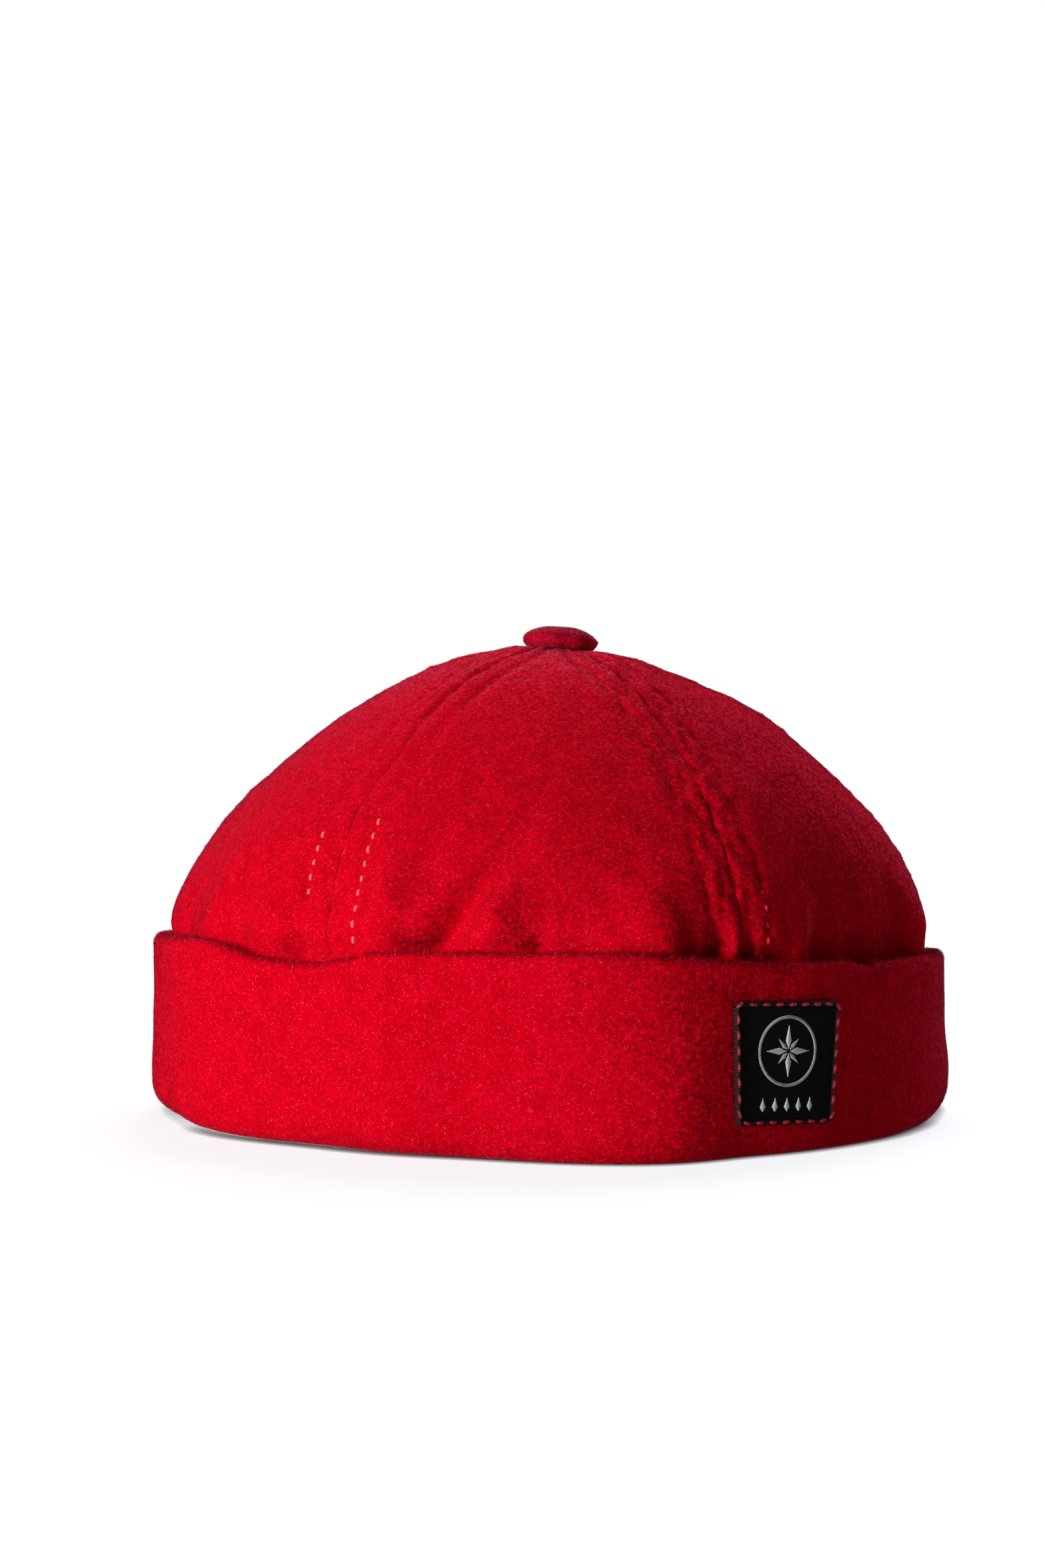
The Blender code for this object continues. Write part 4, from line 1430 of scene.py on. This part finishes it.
@dataclass
class Cuff:
    """The turned-up band of doubled felt and its nap."""

    form: CuffForm
    shop: Workshop
    segments: int = 460
    face_steps: int = 34
    fold_steps: int = 14
    inner_steps: int = 6
    roll_steps: int = 9
    nap_density: float = 9.0e6
    nap_length: float = 0.00055
    nap_pieces: int = 3
    rim_middle: float = math.radians(85.0)
    rim_spread: float = math.radians(45.0)
    rim_density: float = 1.1e7
    rim_length: float = 0.0012
    rim_lean: tuple[float, float] = (0.0, math.radians(60.0))
    rim_face_out: float = 1.4
    lumps: tuple[tuple[float, float, int], ...] = ((0.00040, 0.045, 8), (0.00014, 0.012, 9))
    seam_depth: float = 0.0008
    seam_width: float = 0.0008
    seam_swell: float = 0.0003
    flare: float = 0.0009
    flare_azimuth: float = math.radians(82.0)
    flare_spread: float = 0.7

    def section(self, azimuth: Array) -> tuple[Array, Array, Array]:
        """Closed sections of the cuff.

        Args:
            azimuth: The azimuths of the sections.

        Returns:
            Radius, height and nap of each point, by section and then up the outer face, over the
            fold, down inside and round the hem.
        """
        form = self.form
        top, lift = (values[:, None] for values in form.line(azimuth))
        half = form.thickness / 2.0
        face_low = lift + form.roll_height
        face_high = top - half
        up = np.linspace(0.0, 1.0, self.face_steps, endpoint=False)[None, :]
        fold = np.linspace(0.0, math.pi, self.fold_steps)[None, :]
        roll = np.linspace(0.0, math.pi / 2.0, self.roll_steps, endpoint=False)[None, :]
        inner = np.linspace(1.0, 0.0, self.inner_steps)[None, 1:]
        toe = np.linspace(math.pi / 2.0, 1.5 * math.pi, 5)[None, :]
        end = form.outer_radius - form.hem_reach + form.hem_thickness / 2.0
        hem_half = form.hem_thickness / 2.0
        ones = np.ones_like(top)
        radius = [
            ones * form.outer_radius + 0.0 * up,
            form.inner_radius + half * (1.0 + np.cos(fold)) * ones,
            ones * form.inner_radius + 0.0 * inner,
            ones * end + hem_half * np.cos(toe),
            form.outer_radius - form.roll_depth * (1.0 - np.sin(roll)) * ones,
        ]
        height = [
            face_low + (face_high - face_low) * up,
            top - half * (1.0 - np.sin(fold)),
            lift + form.hem_thickness + (face_high - lift - form.hem_thickness) * inner,
            lift + hem_half * (1.0 + np.sin(toe)),
            lift + form.roll_height * (1.0 - np.cos(roll)),
        ]
        shown = [
            np.ones_like(up),
            smooth_step((math.pi - fold) / 0.3),
            np.zeros_like(inner),
            np.zeros_like(toe),
            smooth_step(roll / 0.5),
        ]
        return np.hstack(radius), np.hstack(height), np.hstack([ones * part for part in shown])

    def relief(self, points: Array, azimuth: Array) -> Array:
        """Soft unevenness of the band, with the shallow seam that closes it at the back."""
        height = points[..., 2].ravel()
        around = np.repeat(azimuth, points.shape[1])
        back = turn_between(around, math.pi) * self.form.outer_radius
        seam = self.seam_depth * bell(back, self.seam_width) - self.seam_swell * bell(np.abs(back) - 0.003, 0.002)
        high = smooth_step((height - 0.010) / 0.016)
        flare = self.flare * bell(turn_between(around, self.flare_azimuth), self.flare_spread) * high
        return (lumpy(points.reshape(-1, 3), self.lumps) - flare - seam).reshape(points.shape[:2])

    def build(self) -> None:
        """Build the band and its nap."""
        form = self.form
        azimuth = np.arange(self.segments) * math.tau / self.segments
        radius, height, shown = self.section(azimuth)
        grid = form.footprint.place(radius, azimuth[:, None], height)
        outside = shown * smooth_step((height - 0.0006) / 0.004)
        grid += at_azimuth(1.0, azimuth[:, None], 0.0) * (self.relief(grid, azimuth) * outside)[..., None]
        mesh = grid_mesh("felt_cuff", grid, round_rows=True, round_columns=True)
        ground = mesh.copy()
        keep(show("felt_cuff", mesh, self.shop.finishes[Dress.FELT]), Slot.FELT, "cuff")
        stretch = np.floor(azimuth / math.tau * self.nap_pieces).astype(int)
        for number in range(self.nap_pieces):
            part = ground.copy()
            set_numbers(part, "nap", ((stretch == number)[:, None] * shown).ravel())
            self.shop.grow_nap(f"nap_cuff_{number + 1}", part, self.nap_density, self.nap_length, 40 + number)
        on_fold = np.zeros(grid.shape[:2])
        ring = slice(self.face_steps, self.face_steps + self.fold_steps)
        on_fold[:, ring] = bell(np.linspace(0.0, math.pi, self.fold_steps) - self.rim_middle, self.rim_spread)
        set_numbers(ground, "nap", on_fold.ravel())
        rim = {"lean": self.rim_lean, "face_out": self.rim_face_out}
        self.shop.grow_nap("nap_cuff_rim", ground, self.rim_density, self.rim_length, 50, **rim)


@dataclass
class TopButton:
    """The covered button on the summit, with its nap."""

    shop: Workshop
    sides: int = 96
    dome_rings: int = 16
    rim_rings: int = 14
    lean: float = math.radians(3.6)
    lift: float = 0.0009
    dome_height: float = 0.0036
    belly_height: float = 0.0025
    shank_radius: float = 0.0016
    shank_share: float = 0.9
    dome_power: float = 0.95
    belly_power: float = 1.1
    rim_power: float = 0.4
    pole_share: float = 0.05
    tuck_share: float = 0.96
    lumps: tuple[tuple[float, float, int], ...] = ((0.00016, 0.006, 12),)
    pleats: int = 11
    pleat_depth: float = 0.00014
    tuck_height: float = 0.0006
    tuck_azimuth: float = math.radians(88.0)
    nap_density: float = 1.2e7
    nap_length: float = 0.00055

    def relief(self, grid: Array, azimuth: Array) -> Array:
        """Lumps and pleats of the covering, with the small tuck where it is gathered."""
        level = grid[..., 2]
        lumps = lumpy(grid.reshape(-1, 3) + 1.0, self.lumps).reshape(level.shape)
        pleats = self.pleat_depth * np.cos(self.pleats * azimuth + 0.7)[None, :] * bell(level + 0.0010, 0.0010)
        tuck = self.tuck_height * bell(turn_between(azimuth, self.tuck_azimuth), 0.05)[None, :]
        return lumps + pleats + tuck * bell(level - 0.0002, 0.0005)

    def build(self) -> None:
        """Build the button in its node's box."""
        low, high = corners_of("top_button")
        centre = (low + high) / 2.0
        radius = float(high[0] - low[0]) / 2.0
        widest = float(high[2]) + self.lift - self.dome_height
        foot = self.shank_share * (float(low[2]) - widest)
        dome = np.linspace(self.pole_share, 1.0, self.dome_rings, endpoint=False) * math.pi / 2.0
        belly = np.linspace(0.0, self.tuck_share, self.rim_rings) * math.pi / 2.0
        shank = self.shank_radius * np.array([1.0, 0.94, 0.25])
        reach = np.concatenate([radius * np.sin(dome), radius * np.cos(belly) ** self.rim_power, shank])
        tops = self.dome_height * np.cos(dome) ** self.dome_power
        under = -self.belly_height * np.sin(belly) ** self.belly_power
        level = np.concatenate([tops, under, [-self.belly_height, foot, foot]])
        azimuth = np.arange(self.sides) * math.tau / self.sides
        grid = at_azimuth(reach[:, None], azimuth[None, :], level[:, None])
        cloth_rings = self.dome_rings + self.rim_rings
        on_cloth = (np.arange(len(reach)) < cloth_rings)[:, None]
        grid += unit(grid) * (self.relief(grid, azimuth) * on_cloth)[..., None]
        grid[..., 2] -= grid[..., 0] * math.tan(self.lean)
        grid += np.array([centre[0], centre[1], widest])
        mesh = grid_mesh("felt_button", grid, round_rows=False, round_columns=True)
        self.close(mesh)
        ground = mesh.copy()
        shown = np.repeat(np.arange(len(reach)) < cloth_rings - 1, self.sides)
        set_numbers(ground, "nap", np.append(shown, [1.0, 0.0]))
        # darker finish of the button: painted shade
        keep(show("felt_button", mesh, self.shop.finishes[Dress.BUTTON]), Slot.FELT, "top_button")
        self.shop.grow_nap("nap_button", ground, self.nap_density, self.nap_length, 60, Dress.BUTTON_NAP)

    def close(self, mesh: Mesh) -> None:
        """Close the two poles of the turned mesh with fans."""
        points = mesh_points(mesh)
        count = len(points)
        first, last = points[: self.sides].mean(axis=0), points[-self.sides :].mean(axis=0)
        faces = [tuple(face.vertices) for face in mesh.polygons]
        for side in range(self.sides):
            after = (side + 1) % self.sides
            faces.append((side, after, count))
            faces.append((count - self.sides + after, count - self.sides + side, count + 1))
        mesh.clear_geometry()
        mesh.from_pydata([*points.tolist(), first.tolist(), last.tolist()], [], faces)
        mesh.shade_smooth()


@dataclass
class SewnLabel:
    """The woven patch, its whipped edge, the stitches that hold it and its thread figure."""

    form: CuffForm
    shop: Workshop
    width: float = 0.0275
    length: float = 0.0269
    taper: float = 0.0013
    thickness: float = 0.0009
    seat: float = 0.0003
    edge_width: float = 0.0015
    corner: float = 0.0007
    azimuth: float = math.radians(30.4)
    height_share: float = 0.472
    turn: float = math.radians(-2.4)
    cells: int = 60
    whip_pitch: float = 0.00042
    whip_reach: float = 1.12
    whip_thickness: float = 1.35
    stitch_pitch: float = 0.0034
    stitch_length: float = 0.0021
    stitch_thickness: float = 0.00075
    stitch_stand: float = 0.00105
    satin_pitch: float = 0.00024
    satin_thickness: float = 1.25
    satin_sink: float = 0.00002
    satin_step: float = 0.0002
    leaf_root: float = 0.0005
    leaf_swell: float = 0.35
    figure_middle: tuple[float, float] = (-0.0002, 0.0026)
    ring_radius: float = 0.0074
    ring_width: float = 0.00085
    # reach and width of the star's long points, then of its short ones
    star_points: tuple[tuple[float, float], tuple[float, float]] = ((0.0056, 0.0019), (0.0036, 0.0013))
    lozenge_row: tuple[float, float] = (-0.0002, -0.0090)
    lozenge_pitch: float = 0.0031
    lozenge_half: float = 0.0014
    lozenge_width: float = 0.0019

    def place(self, flat: Array, stand: Numbers) -> tuple[Array, Array]:
        """Bend points of the flat label round the cuff.

        Args:
            flat: Places on the label, from its middle: across and up.
            stand: How far each stands out from the cuff's face.

        Returns:
            The points and the way that each one's back faces.
        """
        right = flat[:, 0] * math.cos(self.turn) - flat[:, 1] * math.sin(self.turn)
        up = flat[:, 0] * math.sin(self.turn) + flat[:, 1] * math.cos(self.turn)
        azimuth = self.azimuth + right / self.form.outer_radius
        height = self.height_share * self.form.height + up
        radius = self.form.face_radius(azimuth, height) + stand
        return self.form.footprint.place(radius, azimuth, height), at_azimuth(1.0, azimuth, 0.0)

    def half_width(self, up: Numbers) -> Numbers:
        """Half of the label's width at a distance above its middle."""
        return 0.5 * self.width + self.taper * up / self.length

    def make_patch(self) -> None:
        """Build the woven patch."""
        margin = self.edge_width * 0.6
        side = np.linspace(-1.0, 1.0, self.cells)
        up = side * (0.5 * self.length - margin)
        across = side[None, :] * (self.half_width(up)[:, None] - margin)
        flat = np.stack([across, np.repeat(up[:, None], self.cells, axis=1)], axis=-1).reshape(-1, 2)
        points, _ = self.place(flat, self.seat + self.thickness)
        grid = points.reshape(self.cells, self.cells, 3)
        mesh = grid_mesh("label_patch", grid, round_rows=False, round_columns=False)
        mesh.flip_normals()
        layer = mesh.uv_layers.new(name="UVMap")
        for loop in mesh.loops:
            layer.data[loop.index].uv = tuple(flat[loop.vertex_index])
        weave = self.shop.finishes[Dress.PATCH]
        walled = thickened(show("label_patch", mesh, weave), self.thickness)
        keep(show("label_patch", walled, weave), Slot.LABEL_WEAVE, "label_face")

    def outline(self, inset: float, pitch: float) -> tuple[Array, Array]:
        """Evenly spaced places right round the label, with the way that each runs.

        Args:
            inset: How far inside the label's edge.
            pitch: About how far apart.

        Returns:
            The places and the ways, on the flat label.
        """
        corner = self.corner
        reach = 0.5 * self.length - inset
        path = []
        for side_x, side_y, start in ((1, 1, 0), (-1, 1, 90), (-1, -1, 180), (1, -1, 270)):
            centre_y = side_y * (reach - corner)
            centre_x = side_x * (self.half_width(centre_y) - inset - corner)
            for step in range(9):
                angle = math.radians(start + 90.0 * step / 8)
                path.append((centre_x + corner * math.cos(angle), centre_y + corner * math.sin(angle)))
        path.append(path[0])
        route = np.array(path)
        lengths = np.append(0.0, np.cumsum(np.linalg.norm(np.diff(route, axis=0), axis=1)))
        count = round(lengths[-1] / pitch)
        stops = lengths[-1] * np.arange(count) / count
        here = np.stack([np.interp(stops, lengths, route[:, axis]) for axis in range(2)], axis=-1)
        ahead = np.roll(here, -1, axis=0) - np.roll(here, 1, axis=0)
        return here, unit(ahead)

    def lay(
        self,
        name: str,
        threads: tuple[Array, Array, Array],
        stand: float,
        thickness: float,
        tool: Tool,
        dress: Dress,
        wander: float = 0.0,
    ) -> Piece:
        """Lay threads on the label.

        Args:
            name: The new piece's name.
            threads: Their flat places, flat ways and lengths.
            stand: How far they stand out from the cuff's face.
            thickness: Their thickness.
            tool: The shape that each copies.
            dress: Their finish.
            wander: The most that one is turned askew.

        Returns:
            The piece of threads.
        """
        flat, ways, reach = threads
        middle, out = self.place(flat, stand)
        ahead, _ = self.place(flat + ways * 0.0001, stand)
        return self.shop.lay_threads(
            name, middle, unit(ahead - middle), out, reach, thickness, tool, dress, Slot.LABEL_THREAD, wander
        )

    def make_edge(self) -> None:
        """Whip the edge and sew the running stitches over it."""
        flat, ways = self.outline(self.edge_width / 2.0, self.whip_pitch)
        across = np.stack([-ways[:, 1], ways[:, 0]], axis=-1)
        whips = (flat, across, np.full(len(flat), self.edge_width * self.whip_reach))
        thickness = self.whip_pitch * self.whip_thickness
        edge = self.lay("label_whipping", whips, self.seat, thickness, Tool.ARCH, Dress.EDGE, math.radians(9.0))
        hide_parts("label_edge")
        flat, ways = self.outline(self.edge_width / 2.0, self.stitch_pitch)
        stitches = (flat, ways, np.full(len(flat), self.stitch_length))
        stand = self.seat + self.stitch_stand
        self.lay("label_stitches", stitches, stand, self.stitch_thickness, Tool.DASH, Dress.RED, math.radians(5.0))

    def satin_line(self, path: Array, width: float) -> tuple[Array, Array, Array]:
        """Threads of a satin line laid across a path.

        Args:
            path: Points of the path on the flat label.
            width: The line's width.

        Returns:
            The places, ways and lengths of the threads.
        """
        lengths = np.append(0.0, np.cumsum(np.linalg.norm(np.diff(path, axis=0), axis=1)))
        stops = np.arange(0.0, lengths[-1], self.satin_pitch)
        here, ahead, behind = (
            np.stack([np.interp(stops + step, lengths, path[:, axis]) for axis in range(2)], axis=-1)
            for step in (0.0, self.satin_step, -self.satin_step)
        )
        along = unit(ahead - behind)
        return here, np.stack([-along[:, 1], along[:, 0]], axis=-1), np.full(len(here), width)

    def satin_leaf(self, root: Array, tip: Array, width: float) -> tuple[Array, Array, Array]:
        """Threads of a filled leaf, widest at a third of its length.

        Args:
            root: Where it starts on the flat label.
            tip: Where it ends.
            width: Its greatest width.

        Returns:
            The places, ways and lengths of the threads.
        """
        length = float(np.linalg.norm(tip - root))
        share = np.arange(0.5 * self.satin_pitch, length, self.satin_pitch) / length
        here = root + (tip - root) * share[:, None]
        along = (tip - root) / length
        across = np.repeat([[-along[1], along[0]]], len(here), axis=0)
        swell = np.where(share < self.leaf_swell, share / self.leaf_swell, (1.0 - share) / (1.0 - self.leaf_swell))
        return here, across, np.maximum(0.0002, width * swell)

    def make_figure(self) -> None:
        """Embroider a plain compass star in a ring, over a row of five lozenges."""
        middle = np.array(self.figure_middle)
        angles = np.append(np.linspace(0.0, math.tau, 72, endpoint=False), 0.0)
        ring = middle + self.ring_radius * np.stack([np.cos(angles), np.sin(angles)], axis=-1)
        grey, white = [self.satin_line(ring, self.ring_width)], []
        for point in range(8):
            angle = math.tau * point / 8
            way = np.array([math.sin(angle), math.cos(angle)])
            reach, width = self.star_points[point % 2]
            leaf = self.satin_leaf(middle + self.leaf_root * way, middle + reach * way, width)
            (grey if point % 2 else white).append(leaf)
        half = np.array([0.0, self.lozenge_half])
        for step in range(-2, 3):
            spot = np.array([self.lozenge_pitch * step + self.lozenge_row[0], self.lozenge_row[1]])
            white.append(self.satin_leaf(spot - half, spot + half, self.lozenge_width))
        stand = self.seat + self.thickness - self.satin_sink
        thickness = self.satin_pitch * self.satin_thickness
        for name, parts, dress in (("grey", grey, Dress.GREY), ("white", white, Dress.WHITE)):
            threads = tuple(np.concatenate(column) for column in zip(*parts))
            self.lay(f"label_figure_{name}", threads, stand, thickness, Tool.FLOAT, dress)

    def build(self) -> None:
        """Build the whole label."""
        self.make_patch()
        self.make_edge()
        self.make_figure()


@dataclass(frozen=True)
class Lamp:
    """A square soft light that faces the cap; its place is in degrees round and above it."""

    name: str
    azimuth: float
    height: float
    away: float
    size: float
    watts: float
    colour: Colour
    lift: float = 0.05

    def hang(self) -> None:
        """Hang the light."""
        azimuth, height = math.radians(self.azimuth), math.radians(self.height)
        data = bpy.data.lights.new(self.name, "AREA")
        data.size = self.size
        data.energy = self.watts
        data.color = self.colour
        lamp = bpy.data.objects.new(self.name, data)
        up = self.away * math.sin(height) + self.lift
        lamp.location = at_azimuth(self.away * math.cos(height), azimuth, up).tolist()
        lamp.rotation_euler = (math.pi / 2.0 - height, 0.0, azimuth)
        bpy.context.scene.collection.objects.link(lamp)


@dataclass
class Studio:
    """Camera, floor and light."""

    camera_place: tuple[float, float, float] = (-0.007, -0.620, 0.0808)
    lens_mm: float = 56.5
    sensor_mm: float = 36.0
    lamps: tuple[Lamp, ...] = (
        Lamp("key", -45.5, 8.0, 1.1, 0.40, 12.4, (1.0, 0.98, 0.96)),
        Lamp("sky", 168.0, 47.0, 1.4, 1.0, 28.0, (0.92, 0.88, 1.0)),
        Lamp("rim", 128.0, 18.0, 1.4, 0.8, 4.5, (0.86, 0.80, 1.0)),
    )
    floor_reach: float = 6.0
    near_glow: float = 0.86
    far_glow: float = 1.05
    glow_start: float = 0.25
    glow_end: float = 0.90
    floor_bounce: float = 0.15
    backdrop: float = 1.04
    ambient: float = 0.01
    # reach and strength of the painted contact shadow that darkens the floor's glow near the cap
    painted_contact_shadow_reach: float = 0.0026
    painted_contact_shadow_power: float = 1.1

    def set_camera(self) -> None:
        """Look level at the cap from the photograph's place."""
        data = bpy.data.cameras.new("camera")
        data.lens = self.lens_mm
        data.sensor_width = self.sensor_mm
        camera = bpy.data.objects.new("camera", data)
        camera.location = self.camera_place
        camera.rotation_euler = (math.pi / 2.0, 0.0, 0.0)
        bpy.context.scene.collection.objects.link(camera)
        bpy.context.scene.camera = camera

    def lay_floor(self) -> None:
        """Lay a white floor that glows for the camera, its glow darkened near the cap into a painted contact
        shadow.
        """
        reach = self.floor_reach
        corners = [(-reach, -reach, 0.0), (reach, -reach, 0.0), (reach, reach, 0.0), (-reach, reach, 0.0)]
        mesh = bpy.data.meshes.new("floor")
        mesh.from_pydata(corners, [], [(0, 1, 2, 3)])
        material = bpy.data.materials.new("white_floor")
        material.use_nodes = True
        nodes = Nodes(material.node_tree)
        shader = material.node_tree.nodes["Principled BSDF"]
        for name, value in {
            "Base Color": (0.25, 0.25, 0.24, 1.0),
            "Roughness": 0.9,
            "Specular IOR Level": 0.0,
            "Emission Color": (0.97, 0.97, 1.0, 1.0),
        }.items():
            shader.inputs[name].default_value = value
        place = nodes.add("ShaderNodeTexCoord").outputs["Object"]
        away = nodes.field("ShaderNodeVectorMath", {"operation": "LENGTH"}, {0: place}, output=1)
        glow = nodes.field(
            "ShaderNodeMapRange",
            {"interpolation_type": "SMOOTHSTEP"},
            {0: away, 1: self.glow_start, 2: self.glow_end, 3: self.near_glow, 4: self.far_glow},
        )
        seen = nodes.field("ShaderNodeLightPath")
        # painted contact shadow: the glow seen by the camera darkens where the cap closes in on the floor
        near = {"Distance": self.painted_contact_shadow_reach}
        clear_of_painted_shadow = nodes.field("ShaderNodeAmbientOcclusion", {"samples": 8}, near, output=1)
        lit = glow * clear_of_painted_shadow ** self.painted_contact_shadow_power
        nodes.feed(shader.inputs["Emission Strength"], seen * (lit - self.floor_bounce) + self.floor_bounce)
        show("floor", mesh, material)

    def set_lights(self) -> None:
        """Light the cap from the left, with a faint bluish light from above and behind."""
        for lamp in self.lamps:
            lamp.hang()
        world = bpy.data.worlds.new("white_surround")
        world.use_nodes = True
        nodes = Nodes(world.node_tree)
        back = world.node_tree.nodes["Background"]
        back.inputs["Color"].default_value = (0.98, 0.98, 1.0, 1.0)
        seen = nodes.field("ShaderNodeLightPath")
        nodes.feed(back.inputs["Strength"], seen * (self.backdrop - self.ambient) + self.ambient)
        scene = bpy.context.scene
        scene.world = world
        scene.view_settings.view_transform = "Standard"

    def build(self) -> None:
        """Set the whole studio."""
        self.set_camera()
        self.lay_floor()
        self.set_lights()


def main() -> None:
    """Dress the cap."""
    logging.basicConfig(level=logging.INFO, format="%(message)s")
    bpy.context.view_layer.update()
    Studio().build()
    shop = Workshop()
    cuff_form = CuffForm()
    Crown(CrownForm(cuff_form), shop).build()
    Cuff(cuff_form, shop).build()
    TopButton(shop).build()
    SewnLabel(cuff_form, shop).build()
    shop.put_away()


if __name__ == "__main__":
    main()
